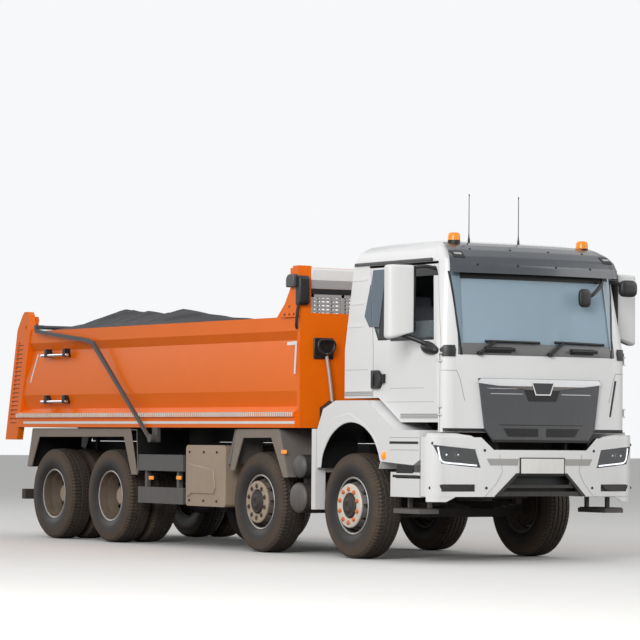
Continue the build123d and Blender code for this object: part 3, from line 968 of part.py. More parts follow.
# Hoist: barrel on its foot shaft and nested stages. The top stage carries the eye.
barrel_top = HOIST_EYE_Z - 110
with BuildPart() as hoist_barrel:
    rod_z(HOIST_X, 0, HOIST_BARREL_RADIUS, HOIST_FOOT_Z + 60, barrel_top)
    rod_y(HOIST_X, HOIST_FOOT_Z, HOIST_FOOT_RADIUS + 35, -70, 70)
    block(HOIST_X - 60, HOIST_X + 60, -60, 60, HOIST_FOOT_Z, HOIST_FOOT_Z + 70)
    rod_y(HOIST_X, HOIST_FOOT_Z, HOIST_FOOT_RADIUS + PIN_CLEARANCE, -71, 71, mode=Mode.SUBTRACT)
    rod_z(HOIST_X, 0, HOIST_BARREL_RADIUS - HOIST_STAGE_STEP + STAGE_CLEARANCE, HOIST_FOOT_Z + 110,
          barrel_top + 1, mode=Mode.SUBTRACT)
hoist_barrel.part.label = "hoist_barrel"
export_step(hoist_barrel.part, "parts/hoist_barrel.step")

for stage in range(1, HOIST_STAGES + 1):
    radius = HOIST_BARREL_RADIUS - HOIST_STAGE_STEP * stage
    with BuildPart() as hoist_stage:
        stage_top = barrel_top + 8 * stage if stage < HOIST_STAGES else HOIST_EYE_Z - 10
        rod_z(HOIST_X, 0, radius, HOIST_FOOT_Z + 112 + stage, stage_top)
        if stage < HOIST_STAGES:
            rod_z(HOIST_X, 0, radius - HOIST_STAGE_STEP + STAGE_CLEARANCE, HOIST_FOOT_Z + 112,
                  barrel_top + 8 * stage + 1, mode=Mode.SUBTRACT)
        else:
            rod_y(HOIST_X, HOIST_EYE_Z, 50, -HOIST_JAW_HALF + 6, HOIST_JAW_HALF - 6)
            rod_y(HOIST_X, HOIST_EYE_Z, 30, -HOIST_JAW_HALF, HOIST_JAW_HALF, mode=Mode.SUBTRACT)
    hoist_stage.part.label = f"hoist_stage_{stage}"
    export_step(hoist_stage.part, f"parts/hoist_stage_{stage}.step")
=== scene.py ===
"""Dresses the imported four-axle tipping truck: paint, dirt, glass, tyres, lamps, trim and cloth."""
from __future__ import annotations

import json
import logging
import math
from dataclasses import dataclass
from enum import Enum
from typing import Callable, Iterable, Sequence

import bmesh
import bpy
import numpy as np
from mathutils import Matrix, Vector


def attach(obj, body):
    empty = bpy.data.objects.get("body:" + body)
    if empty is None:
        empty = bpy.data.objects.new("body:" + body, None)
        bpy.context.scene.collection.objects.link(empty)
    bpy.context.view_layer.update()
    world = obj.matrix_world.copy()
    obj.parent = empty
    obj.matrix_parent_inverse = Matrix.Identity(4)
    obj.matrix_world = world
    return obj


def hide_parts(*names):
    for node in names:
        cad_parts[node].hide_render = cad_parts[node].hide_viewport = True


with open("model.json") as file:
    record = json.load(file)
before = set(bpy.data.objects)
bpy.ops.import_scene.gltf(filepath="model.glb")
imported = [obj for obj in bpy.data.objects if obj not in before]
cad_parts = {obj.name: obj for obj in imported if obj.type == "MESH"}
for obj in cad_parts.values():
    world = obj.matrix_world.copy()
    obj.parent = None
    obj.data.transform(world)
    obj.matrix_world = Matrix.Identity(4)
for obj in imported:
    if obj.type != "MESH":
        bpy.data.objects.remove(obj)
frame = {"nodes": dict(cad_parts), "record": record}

LOG = logging.getLogger("truck")
AXLE_1 = 2.990
AXLES = (AXLE_1, AXLE_1 - 1.795, AXLE_1 - 5.045, AXLE_1 - 6.445)
TYRE_RADIUS = 0.530
SIDES = {"right": -1, "left": 1}
FULL_TURN = (0, 2 * math.pi)
POLE_TO_POLE = (0.001, math.pi - 0.001)

Points = Sequence[Sequence[float]]
Surface = Callable[[np.ndarray, np.ndarray], np.ndarray]


class Turn(Enum):
    """The axis that a turned profile goes round."""

    X = 0
    Y = 1
    Z = 2


# ---------------------------------------------------------------- meshes


def linked(name: str, mesh: bpy.types.Mesh, materials: Iterable[bpy.types.Material]) -> bpy.types.Object:
    """Links a mesh into the scene as an object at the origin, with its finishes.

    Args:
        name: the new object's name.
        mesh: its mesh.
        materials: its material slots, in order.

    Returns:
        The object, in the scene.
    """
    for material in materials:
        mesh.materials.append(material)
    piece = bpy.data.objects.new(name, mesh)
    bpy.context.collection.objects.link(piece)
    return piece


def shade(work: bmesh.types.BMesh, angle: float | None) -> None:
    """Shades faces smooth but for edges sharper than an angle in degrees; None shades them flat."""
    for face in work.faces:
        face.smooth = angle is not None
    if angle is not None:
        limit = math.radians(angle)
        for edge in work.edges:
            edge.smooth = len(edge.link_faces) == 2 and edge.calc_face_angle(0.0) < limit


def new_object(name: str, verts: np.ndarray, faces: Sequence[Sequence[int]], material: str,
               smooth: float | None = 35.0) -> bpy.types.Object:
    """Puts arrays of points and faces into a mesh object at the origin.

    Args:
        name: the piece's name.
        verts: points, one row each, in metres.
        faces: corner indices of each face.
        material: the name of its finish.
        smooth: the angle in degrees below which edges shade smooth, or None for flat shading.

    Returns:
        The linked object.
    """
    mesh = bpy.data.meshes.new(name)
    mesh.from_pydata(np.asarray(verts, float).tolist(), [], [list(map(int, f)) for f in faces])
    work = bmesh.new()
    work.from_mesh(mesh)
    bmesh.ops.remove_doubles(work, verts=work.verts, dist=1e-5)
    bmesh.ops.recalc_face_normals(work, faces=work.faces)
    shade(work, smooth)
    work.to_mesh(mesh)
    work.free()
    return linked(name, mesh, [finish(material)])


def grid_faces(rows: int, columns: int, close_rows: bool = False, close_columns: bool = False) -> np.ndarray:
    """Quads of a grid of points numbered row by row.

    Args:
        rows: number of rows of points.
        columns: number of points in a row.
        close_rows: joins the last row to the first.
        close_columns: joins the last column to the first.

    Returns:
        An array of corner indices, four a face.
    """
    r = np.arange(rows if close_rows else rows - 1)
    c = np.arange(columns if close_columns else columns - 1)
    rr, cc = np.meshgrid(r, c, indexing="ij")
    r2, c2 = (rr + 1) % rows, (cc + 1) % columns
    return np.stack([rr * columns + cc, rr * columns + c2, r2 * columns + c2, r2 * columns + cc], -1).reshape(-1, 4)


def lathe(profile: Points, centre: Sequence[float], axis: Turn, material: str, steps: int = 64,
          start: float = 0.0, way: int = 1) -> bpy.types.Object:
    """Turns a profile round an axis: each point (along, radius) sweeps a circle of that radius.

    Args:
        profile: points of (distance along the axis, radius).
        centre: a point that the axis passes through.
        axis: which axis it turns about.
        material: its finish.
        steps: how many segments make a turn.
        start: where along the axis the profile's distances begin.
        way: 1 or -1, the way they are counted.

    Returns:
        The turned part.
    """
    along, radius = np.asarray(profile, float).T
    along = start + way * along
    angle = np.linspace(0, 2 * np.pi, steps, endpoint=False)
    first, second = (radius[:, None] * np.cos(angle)), (radius[:, None] * np.sin(angle))
    run = np.repeat(along[:, None], steps, 1)
    order = {Turn.X: (run, first, second), Turn.Y: (second, run, first), Turn.Z: (first, second, run)}[axis]
    verts = np.stack(order, -1).reshape(-1, 3) + np.asarray(centre)
    return new_object("turned", verts, grid_faces(len(along), steps, False, True), material)


def oblong(x0: float, x1: float, z0: float, z1: float) -> list[tuple[float, float]]:
    """The outline of an upright rectangle."""
    return [(x0, z0), (x1, z0), (x1, z1), (x0, z1)]


def prism(outline: Points, axis: Turn, low: float, high: float, material: str,
          bevel: float = 0.004) -> bpy.types.Object:
    """Carries a closed outline straight along an axis and caps it.

    Args:
        outline: points across the axis: (y, z) for X, (x, z) for Y and (x, y) for Z.
        axis: the axis it is carried along.
        low: where it starts.
        high: where it ends.
        material: its finish.
        bevel: width of the rounding on its edges, in metres.

    Returns:
        The capped part, with a Bevel modifier.
    """
    flat = np.asarray(outline, float)
    count = len(flat)
    ends = [np.insert(flat, axis.value, value, axis=1) for value in (low, high)]
    faces = [list(range(count))[::-1], list(range(count, 2 * count))]
    ring = np.arange(count)
    faces += np.stack([ring, (ring + 1) % count, (ring + 1) % count + count, ring + count], -1).tolist()
    piece = new_object("prism", np.vstack(ends), faces, material)
    if bevel:
        soften(piece, bevel)
    return piece


def flank(outline: Points, side: int, near: float, far: float, material: str, bevel: float = 0.0
          ) -> bpy.types.Object:
    """An (x, z) outline on one side of the truck, as thick as from one distance off the middle to another."""
    return prism(outline, Turn.Y, *sorted((side * near, side * far)), material, bevel)


def soften(piece: bpy.types.Object, width: float) -> None:
    """Rounds a piece's edges with a Bevel modifier of that width."""
    bevel = piece.modifiers.new("Edges", "BEVEL")
    bevel.width, bevel.segments = width, 2
    bevel.limit_method, bevel.angle_limit = "ANGLE", math.radians(30.0)
    bevel.harden_normals = False


def tube(path: Points, radius: float, material: str, sides: int = 12, samples: int = 0) -> bpy.types.Object:
    """Carries a circle along a path: each ring lies across the path's tangent there.

    Args:
        path: points of its centre line.
        radius: of the tube.
        material: its finish.
        sides: points in a ring.
        samples: if given, the path is smoothed into this many points by a Catmull-Rom curve.

    Returns:
        The tube with closed ends.
    """
    line = np.asarray(path, float)
    if samples:
        line = smooth_path(line, samples)
    tangent = np.gradient(line, axis=0)
    tangent /= np.linalg.norm(tangent, axis=1)[:, None]
    chord = line[-1] - line[0]
    helper = np.eye(3)[np.argmin(np.abs(chord) + np.abs(tangent).sum(0) * 1e-3)]
    across = np.cross(tangent, helper)
    across /= np.linalg.norm(across, axis=1)[:, None]
    up = np.cross(across, tangent)
    angle = np.linspace(0, 2 * np.pi, sides, endpoint=False)
    rings = line[:, None] + radius * (np.cos(angle)[None, :, None] * across[:, None]
                                      + np.sin(angle)[None, :, None] * up[:, None])
    count = len(line)
    faces = grid_faces(count, sides, False, True).tolist()
    faces += [list(range(sides)), list(range((count - 1) * sides, count * sides))]
    return new_object("tube", rings.reshape(-1, 3), faces, material, 50)


def smooth_path(points: np.ndarray, samples: int) -> np.ndarray:
    """Catmull-Rom curve through points: each span is the cubic that leaves along its neighbours' chord.

    Args:
        points: places to pass through.
        samples: how many points to give back.

    Returns:
        The points of the smooth path.
    """
    p = np.vstack([2 * points[0] - points[1], points, 2 * points[-1] - points[-2]])
    t = np.linspace(0, len(points) - 1 - 1e-9, samples)
    i = t.astype(int)
    f = (t - i)[:, None]
    a, b, c, d = p[i], p[i + 1], p[i + 2], p[i + 3]
    return 0.5 * (2 * b + (c - a) * f + (2 * a - 5 * b + 4 * c - d) * f ** 2 + (3 * b - a - 3 * c + d) * f ** 3)


def walled(piece: bpy.types.Object, thickness: float) -> bpy.types.Object:
    """Gives a surface a wall, half of it each way, with a Solidify modifier."""
    wall = piece.modifiers.new("Wall", "SOLIDIFY")
    wall.thickness, wall.offset = thickness, 0
    return piece


def patch(surface: Surface, u: tuple[float, float], v: tuple[float, float], size: tuple[int, int], material: str,
          name: str = "patch") -> bpy.types.Object:
    """A surface given as a function of two parameters, sampled on a grid.

    Args:
        surface: takes the two parameter grids and gives the points.
        u: the first parameter's range.
        v: the second parameter's range.
        size: points each way.
        material: its finish.
        name: the piece's name, where it stays a piece of its own.

    Returns:
        The piece.
    """
    uu, vv = np.meshgrid(np.linspace(*u, size[0]), np.linspace(*v, size[1]), indexing="ij")
    return new_object(name, surface(uu, vv).reshape(-1, 3), grid_faces(*size), material, 40)


def join(name: str, parts: Iterable[bpy.types.Object]) -> bpy.types.Object:
    """Makes one mesh of several parts with their modifiers applied, keeping each one's finish.

    Args:
        name: the joined piece's name.
        parts: its parts; their materials become slots in this order.

    Returns:
        The joined piece.
    """
    parts = list(parts)
    deps = bpy.context.evaluated_depsgraph_get()
    merged = bmesh.new()
    mats: list[bpy.types.Material] = []
    for part in parts:
        mesh = bpy.data.meshes.new_from_object(part.evaluated_get(deps))
        shift = []
        for mat in part.data.materials:
            if mat not in mats:
                mats.append(mat)
            shift.append(mats.index(mat))
        index = np.empty(len(mesh.polygons), np.int32)
        mesh.polygons.foreach_get("material_index", index)
        mesh.polygons.foreach_set("material_index", np.asarray(shift)[index])
        merged.from_mesh(mesh)
        bpy.data.meshes.remove(mesh)
    mesh = bpy.data.meshes.new(name)
    merged.to_mesh(mesh)
    merged.free()
    for part in parts:
        bpy.data.objects.remove(part)
    return linked(name, mesh, mats)


def refined(node: str, material: str, angle: float) -> bpy.types.Object:
    """A merged copy of a CAD node that stands for it.

    Args:
        node: the CAD node.
        material: its finish.
        angle: edges sharper than this stay crisp, and the rest shade smooth.

    Returns:
        The copy, riding on nothing yet.
    """
    work = bmesh.new()
    work.from_mesh(frame["nodes"][node].data)
    bmesh.ops.remove_doubles(work, verts=work.verts, dist=2e-5)
    bmesh.ops.dissolve_limit(work, angle_limit=math.radians(0.6), verts=work.verts, edges=work.edges)
    shade(work, angle)
    mesh = bpy.data.meshes.new(node + "_skin")
    work.to_mesh(mesh)
    work.free()
    piece = linked(node + "_skin", mesh, [finish(material)])
    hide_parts(node)
    return piece


# ---------------------------------------------------------------- materials


def socket_group(name: str, inputs: Sequence[tuple[str, str, object]], outputs: Sequence[tuple[str, str]]
                 ) -> tuple[bpy.types.NodeTree, bpy.types.Node, bpy.types.Node]:
    """An empty shader node group with named inputs and outputs.

    Args:
        name: the group's name.
        inputs: (name, socket type, default) of each input.
        outputs: (name, socket type) of each output.

    Returns:
        The tree, its input node and its output node.
    """
    tree = bpy.data.node_groups.new(name, "ShaderNodeTree")
    for label, kind, default in inputs:
        socket = tree.interface.new_socket(label, in_out="INPUT", socket_type=kind)
        if default is not None:
            socket.default_value = default
    for label, kind in outputs:
        tree.interface.new_socket(label, in_out="OUTPUT", socket_type=kind)
    return tree, tree.nodes.new("NodeGroupInput"), tree.nodes.new("NodeGroupOutput")


class NodeMaker:
    """Adds nodes to a tree and wires them in short calls."""

    def __init__(self, tree: bpy.types.NodeTree) -> None:
        """Keeps the tree."""
        self.tree = tree

    def node(self, kind: str, **settings: object) -> bpy.types.Node:
        """A new node with its settings."""
        made = self.tree.nodes.new(kind)
        for key, value in settings.items():
            setattr(made, key, value)
        return made

    def link(self, out: bpy.types.NodeSocket, into: bpy.types.NodeSocket) -> None:
        """Wires an output to an input."""
        self.tree.links.new(out, into)

    def feed(self, into: bpy.types.NodeSocket, value: object) -> None:
        """Wires or sets an input."""
        if isinstance(value, bpy.types.NodeSocket):
            self.link(value, into)
        else:
            into.default_value = value

    def group(self, name: str, **values: object) -> bpy.types.Node:
        """A copy of a node group with its inputs wired or set."""
        made = self.node("ShaderNodeGroup", node_tree=bpy.data.node_groups[name])
        for label, value in values.items():
            self.feed(made.inputs[label], value)
        return made

    def maths(self, operation: str, *values: object, clamp: bool = False) -> bpy.types.NodeSocket:
        """A Math node on up to three values."""
        made = self.node("ShaderNodeMath", operation=operation, use_clamp=clamp)
        for index, value in enumerate(values):
            self.feed(made.inputs[index], value)
        return made.outputs[0]

    def noise(self, coords: bpy.types.NodeSocket, scale: object, detail: float = 4.0,
              rough: float = 0.6) -> bpy.types.NodeSocket:
        """Noise of a scale, as a value."""
        made = self.node("ShaderNodeTexNoise")
        for label, value in (("Vector", coords), ("Scale", scale), ("Detail", detail), ("Roughness", rough)):
            self.feed(made.inputs[label], value)
        return made.outputs["Fac"]

    def ramp(self, value: object, low: object, high: object, start: float = 0.0, end: float = 1.0
             ) -> bpy.types.NodeSocket:
        """Maps a value from low..high to start..end, smoothly and clamped."""
        made = self.node("ShaderNodeMapRange", interpolation_type="SMOOTHSTEP")
        for index, item in enumerate((value, low, high, start, end)):
            self.feed(made.inputs[index], item)
        return made.outputs[0]

    def mix(self, fac: object, first: object, second: object) -> bpy.types.NodeSocket:
        """A colour mix."""
        made = self.node("ShaderNodeMix", data_type="RGBA")
        for index, value in ((0, fac), (6, first), (7, second)):
            self.feed(made.inputs[index], value)
        return made.outputs[2]

    def bump(self, height: bpy.types.NodeSocket, strength: float, shader: bpy.types.Node) -> None:
        """Turns a height into the shader's normal, two millimetres deep at full strength."""
        made = self.node("ShaderNodeBump")
        for label, value in (("Strength", strength), ("Distance", 0.002), ("Height", height)):
            self.feed(made.inputs[label], value)
        self.link(made.outputs[0], shader.inputs["Normal"])


def new_material(name: str) -> tuple[bpy.types.Material, NodeMaker, bpy.types.Node]:
    """A new material, the maker of its nodes and its Principled shader."""
    mat = bpy.data.materials.new(name)
    mat.use_nodes = True
    return mat, NodeMaker(mat.node_tree), mat.node_tree.nodes["Principled BSDF"]


def build_dust_group() -> None:
    """Road dust: a mask that thickens towards the ground, broken up by blots, streaks and specks of noise."""
    tree, inp, out = socket_group(
        "road_dust",
        [("Color", "NodeSocketColor", None), ("Dust", "NodeSocketColor", (0.42, 0.34, 0.24, 1)),
         ("Amount", "NodeSocketFloat", 0.4), ("Height", "NodeSocketFloat", 1.3),
         ("Roughness", "NodeSocketFloat", 0.4)],
        [("Color", "NodeSocketColor"), ("Roughness", "NodeSocketFloat")])
    make = NodeMaker(tree)
    coords = make.node("ShaderNodeTexCoord").outputs["Object"]
    parts = make.node("ShaderNodeSeparateXYZ")
    make.link(coords, parts.inputs[0])
    low = make.ramp(parts.outputs[2], inp.outputs["Height"], 0.1)
    broad = make.noise(coords, 2.3, 5)
    fine = make.noise(coords, 38.0, 4, 0.7)
    stretch = make.node("ShaderNodeMapping")
    stretch.inputs["Scale"].default_value = (6, 6, 0.7)
    make.link(coords, stretch.inputs["Vector"])
    streak = make.noise(stretch.outputs[0], 3.0)
    blot = make.maths("MULTIPLY", make.ramp(broad, 0.3, 0.75), make.ramp(streak, 0.35, 0.7))
    speck = make.ramp(fine, 0.42, 0.72)
    total = make.maths("ADD", make.maths("MULTIPLY", low, make.maths("ADD", blot, 0.45)),
                       make.maths("MULTIPLY", speck, 0.12))
    mask = make.maths("MULTIPLY", total, inp.outputs["Amount"], clamp=True)
    mask = make.maths("MINIMUM", mask, 0.95)
    make.link(make.mix(mask, inp.outputs["Color"], inp.outputs["Dust"]), out.inputs["Color"])
    make.link(make.maths("ADD", inp.outputs["Roughness"], make.maths("MULTIPLY", mask, 0.5), clamp=True),
              out.inputs["Roughness"])


def build_grain_group() -> None:
    """Fine surface unevenness: two noises as a height, and a slow drift of shade."""
    tree, inp, out = socket_group(
        "fine_grain", [("Scale", "NodeSocketFloat", 200.0), ("Drift", "NodeSocketFloat", 3.0),
                       ("Color", "NodeSocketColor", None), ("Spread", "NodeSocketFloat", 0.12)],
        [("Color", "NodeSocketColor"), ("Height", "NodeSocketFloat")])
    make = NodeMaker(tree)
    coords = make.node("ShaderNodeTexCoord").outputs["Object"]
    height = make.noise(coords, inp.outputs["Scale"], 3)
    drift = make.noise(coords, inp.outputs["Drift"])
    shade_off = make.maths("MULTIPLY", make.maths("SUBTRACT", drift, 0.5), inp.outputs["Spread"])
    hsv = make.node("ShaderNodeHueSaturation")
    make.link(make.maths("ADD", make.maths("MULTIPLY", shade_off, 2.0), 1.0), hsv.inputs["Value"])
    make.link(inp.outputs["Color"], hsv.inputs["Color"])
    make.link(hsv.outputs[0], out.inputs["Color"])
    make.link(height, out.inputs["Height"])


@dataclass(frozen=True)
class Finish:
    """A painted, moulded, cast or rubber surface with road dust and fine grain.

    Fields give the colour, its gloss, the size and depth of the grain and how far dust climbs it.
    """

    name: str
    color: tuple[float, float, float]
    roughness: float = 0.4
    metallic: float = 0.0
    coat: float = 0.0
    grain: float = 220.0
    bump: float = 0.05
    spread: float = 0.08
    dust: float = 0.3
    dust_top: float = 1.4
    dust_color: tuple[float, float, float] = (0.40, 0.32, 0.22)
    emission: float = 0.0
    specular: float = 0.5

    def build(self) -> bpy.types.Material:
        """The material: colour through grain and dust into a Principled shader.

        Returns:
            The material.
        """
        mat, make, shader = new_material(self.name)
        grain = make.group("fine_grain", Scale=self.grain, Color=(*self.color, 1), Spread=self.spread)
        dust = make.group("road_dust", Color=grain.outputs["Color"], Dust=(*self.dust_color, 1), Amount=self.dust,
                          Height=self.dust_top, Roughness=self.roughness)
        make.link(dust.outputs["Color"], shader.inputs["Base Color"])
        make.link(dust.outputs["Roughness"], shader.inputs["Roughness"])
        shader.inputs["Metallic"].default_value = self.metallic
        shader.inputs["Specular IOR Level"].default_value = self.specular
        if self.coat:
            shader.inputs["Coat Weight"].default_value = self.coat
            shader.inputs["Coat Roughness"].default_value = 0.08
        if self.emission:
            shader.inputs["Emission Color"].default_value = (*self.color, 1)
            shader.inputs["Emission Strength"].default_value = self.emission
        make.bump(grain.outputs["Height"], self.bump, shader)
        return mat


@dataclass(frozen=True)
class Glass:
    """Window or lens glass: transmission with a tint, a little dust and plain metallic."""

    name: str
    color: tuple[float, float, float]
    roughness: float = 0.03
    dust: float = 0.12
    transmission: float = 0.92

    def build(self) -> bpy.types.Material:
        """The material: a tinted transmissive Principled shader with a dust film.

        Returns:
            The material.
        """
        mat, make, shader = new_material(self.name)
        dust = make.group("road_dust", Color=(*self.color, 1), Amount=self.dust, Height=3.0,
                          Roughness=self.roughness)
        make.link(dust.outputs["Color"], shader.inputs["Base Color"])
        make.link(dust.outputs["Roughness"], shader.inputs["Roughness"])
        shader.inputs["Transmission Weight"].default_value = self.transmission
        shader.inputs["IOR"].default_value = 1.1
        return mat


@dataclass(frozen=True)
class TyreRubber:
    """Tyre rubber: near-black sidewall by the rim, and brown dust outwards by the mesh's band attribute, less of it on
    the tread, whose darkness is partly painted shade.
    """

    name: str = "tyre"
    color: tuple[float, float, float] = (0.017, 0.0155, 0.0145)
    dust_color: tuple[float, float, float] = (0.105, 0.074, 0.052)

    def build(self) -> bpy.types.Material:
        """The material: band times noise mixes dust over rubber, and roughness follows it.

        Returns:
            The material.
        """
        mat, make, shader = new_material(self.name)
        coords = make.node("ShaderNodeTexCoord").outputs["Object"]
        band = make.node("ShaderNodeAttribute", attribute_name="band").outputs["Fac"]
        broad = make.ramp(make.noise(coords, 5.0, 5), 0.3, 0.75)
        fine = make.ramp(make.noise(coords, 60.0, 4, 0.7), 0.35, 0.7)
        cover = make.maths("MULTIPLY", band, make.maths("ADD", make.maths("MULTIPLY", broad, 0.45), 0.5))
        cover = make.maths("ADD", cover, make.maths("MULTIPLY", fine, 0.14))
        mask = make.maths("MINIMUM", cover, 0.93)
        make.link(make.mix(mask, (*self.color, 1), (*self.dust_color, 1)), shader.inputs["Base Color"])
        make.link(make.ramp(mask, 0.0, 1.0, 0.55, 0.95), shader.inputs["Roughness"])
        make.bump(make.noise(coords, 240.0, 3), 0.3, shader)
        return mat


FINISHES: dict[str, Finish | Glass | TyreRubber] = {made.name: made for made in (
    TyreRubber(),
    Finish("cab_paint", (0.79, 0.79, 0.785), 0.30, coat=0.15, specular=0.35, grain=90, bump=0.015, spread=0.02,
           dust=0.16, dust_top=1.5, dust_color=(0.50, 0.44, 0.35)),
    Finish("orange_paint", (0.90, 0.165, 0.001), 0.34, coat=0.04, specular=0.25, grain=60, bump=0.03, spread=0.05,
           dust=0.10, dust_top=1.9, dust_color=(0.52, 0.22, 0.05)),
    Finish("black_plastic", (0.014, 0.014, 0.015), 0.42, grain=700, bump=0.12, dust=0.08, dust_top=2.2),
    Finish("flange_grey", (0.225, 0.185, 0.15), 0.5, grain=300, bump=0.1, spread=0.15, dust_top=1.7,
           dust_color=(0.34, 0.28, 0.22)),
    Finish("grey_plastic", (0.15, 0.14, 0.13), 0.55, grain=600, bump=0.14, spread=0.12, dust=0.55, dust_top=2.2,
           dust_color=(0.26, 0.21, 0.17)),
    Finish("chassis_paint", (0.022, 0.022, 0.023), 0.6, grain=120, bump=0.12, spread=0.2, dust=0.4, dust_top=1.6,
           dust_color=(0.11, 0.075, 0.05)),
    Finish("rubber", (0.022, 0.019, 0.017), 0.75, grain=300, bump=0.25, spread=0.25, dust=0.85, dust_top=1.9,
           dust_color=(0.30, 0.23, 0.16)),
    Finish("wheel_paint", (0.09, 0.069, 0.050), 0.55, grain=80, bump=0.15, spread=0.3, dust=0.5, dust_top=1.6,
           dust_color=(0.27, 0.20, 0.14)),
    Finish("hub_cream", (0.74, 0.69, 0.60), 0.45, grain=80, bump=0.08, spread=0.15, dust_color=(0.45, 0.30, 0.20)),
    Finish("orange_cap", (0.72, 0.15, 0.025), grain=200, bump=0.03, dust=0.25),
    Finish("iron", (0.035, 0.029, 0.025), 0.65, 0.3, grain=150, bump=0.3, spread=0.3, dust=0.35, dust_top=1.5,
           dust_color=(0.20, 0.14, 0.10)),
    Finish("rim_grey", (0.12, 0.12, 0.12), 0.45, 0.2, grain=80, bump=0.12, spread=0.3, dust=0.35, dust_top=1.5,
           dust_color=(0.22, 0.17, 0.13)),
    Finish("rim_brown", (0.085, 0.07, 0.058), 0.55, 0.1, grain=80, bump=0.15, spread=0.3, dust=0.45, dust_top=1.5,
           dust_color=(0.20, 0.14, 0.10)),
    # Dark brown-orange for the gusset bolts, and painted shade inside the slots through the tailgate post.
    Finish("slot_brown", (0.22, 0.045, 0.006), 0.6, grain=200, dust=0.1),
    Finish("guard_grey", (0.085, 0.087, 0.09), 0.45, 0.1, grain=300, bump=0.08, spread=0.12, dust=0.4, dust_top=1.7,
           dust_color=(0.24, 0.19, 0.15)),
    Finish("trim_grey", (0.22, 0.215, 0.20), 0.8, grain=500, bump=0.1, dust=0.0),
    Finish("glass_dark", (0.055, 0.095, 0.135), 0.05, coat=0.6, grain=200, bump=0.0, spread=0.02, dust=0.04),
    # Dark chrome for the lower half of the grille's bar: a painted reflection of the ground.
    Finish("chrome_painted_reflection", (0.20, 0.18, 0.17), 0.22, 0.9, grain=200, bump=0.0, dust=0.05),
    Finish("glass_blue", (0.17, 0.25, 0.31), 0.05, coat=0.6, grain=200, bump=0.0, spread=0.02, dust=0.04),
    Finish("ledge_steel", (0.50, 0.47, 0.42), 0.42, 0.55, grain=120, bump=0.1, spread=0.2, dust_top=2.4),
    Finish("silver", (0.62, 0.62, 0.62), 0.35, 0.6, grain=120, bump=0.08, spread=0.12, dust=0.4, dust_top=2.0),
    Finish("ram_chrome", (0.66, 0.66, 0.68), 0.18, 1.0, grain=200, bump=0.03, dust=0.2),
    Finish("chrome", (0.80, 0.80, 0.80), 0.12, 1.0, grain=200, bump=0.0, dust=0.1),
    Finish("smoke_plastic", (0.038, 0.046, 0.058), 0.20, coat=0.4, grain=200, bump=0.0, spread=0.3, dust=0.10,
           dust_top=4.0),
    Finish("amber", (0.95, 0.30, 0.005), 0.25, coat=0.1, grain=200, bump=0.0, dust=0.05),
    Finish("amber_lamp", (1.0, 0.32, 0.01), 0.2, coat=0.4, grain=300, dust=0.1, emission=0.25),
    Finish("white_lamp", (0.95, 0.96, 1.0), 0.25, grain=300, bump=0.02, dust=0.0, emission=0.8),
    # The reflector's glow is a painted reflection of light in the headlamp's cup.
    Finish("reflector", (0.75, 0.76, 0.78), 0.2, 0.7, grain=90, bump=0.2, dust=0.0, emission=0.22),
    Finish("white_tape", (0.83, 0.83, 0.80), grain=500, dust=0.35, dust_top=2.0),
    Finish("box_beige", (0.40, 0.31, 0.225), 0.42, 0.2, grain=90, bump=0.1, spread=0.15, dust=0.4, dust_top=1.5,
           dust_color=(0.38, 0.29, 0.21)),
    Finish("tank_metal", (0.55, 0.55, 0.56), 0.3, 0.9, grain=100, bump=0.06, dust=0.5),
    Finish("trim_dark", (0.05, 0.05, 0.055), 0.6, grain=500, bump=0.1, dust=0.1),
    Finish("seat_cloth", (0.05, 0.05, 0.065), 0.9, grain=900, bump=0.3, spread=0.2, dust=0.05),
    Finish("sheet_mesh", (0.042, 0.031, 0.022), 0.9, specular=0.12, grain=900, bump=0.5, spread=0.5, dust=0.35,
           dust_top=3.4, dust_color=(0.16, 0.11, 0.07)),
    Finish("mirror_glass", (0.75, 0.78, 0.80), 0.04, 1.0, grain=200, bump=0.0, dust=0.05),
    Glass("window", (0.45, 0.52, 0.55), 0.04, 0.10, 0.80),
    Glass("screen", (0.47, 0.60, 0.69), 0.05, 0.08, 0.40),
    Finish("frit", (0.13, 0.135, 0.14), 0.3, grain=300, bump=0.02, dust_top=3.0),
    # Near-black for black parts, and painted shade where it lies on undersides, in arches, slots and gaps, and on
    # plates behind openings.
    Finish("pit_black", (0.006, 0.006, 0.0065), 0.5, grain=400, dust=0.02, dust_top=2.0),
    Finish("badge_dark", (0.03, 0.03, 0.033), 0.2, coat=0.4, grain=400, bump=0.02, dust=0.1),
    Finish("grille_grey", (0.065, 0.07, 0.078), 0.38, grain=500, bump=0.06, dust=0.2, dust_top=2.0),
    Finish("strip_grey", (0.38, 0.38, 0.38), 0.45, 0.1, grain=200, dust_top=3.0),
    Finish("ring_dusty", (0.42, 0.33, 0.25), 0.6, grain=60, bump=0.15, spread=0.4, dust=0.7),
    Finish("rim_edge", (0.55, 0.54, 0.52), 0.35, 0.4, grain=80, bump=0.1),
    Finish("arm_grey", (0.055, 0.057, 0.062), grain=200, dust_top=2.4),
    Finish("floor_pale", (0.80, 0.79, 0.77), 0.85, grain=8, bump=0.02, spread=0.03, dust=0.0),
    Glass("lens", (0.92, 0.94, 0.96), 0.02, 0.05, 0.96))}


def finish(name: str) -> bpy.types.Material:
    """The material of that name, made once."""
    return bpy.data.materials.get(name) or FINISHES[name].build()


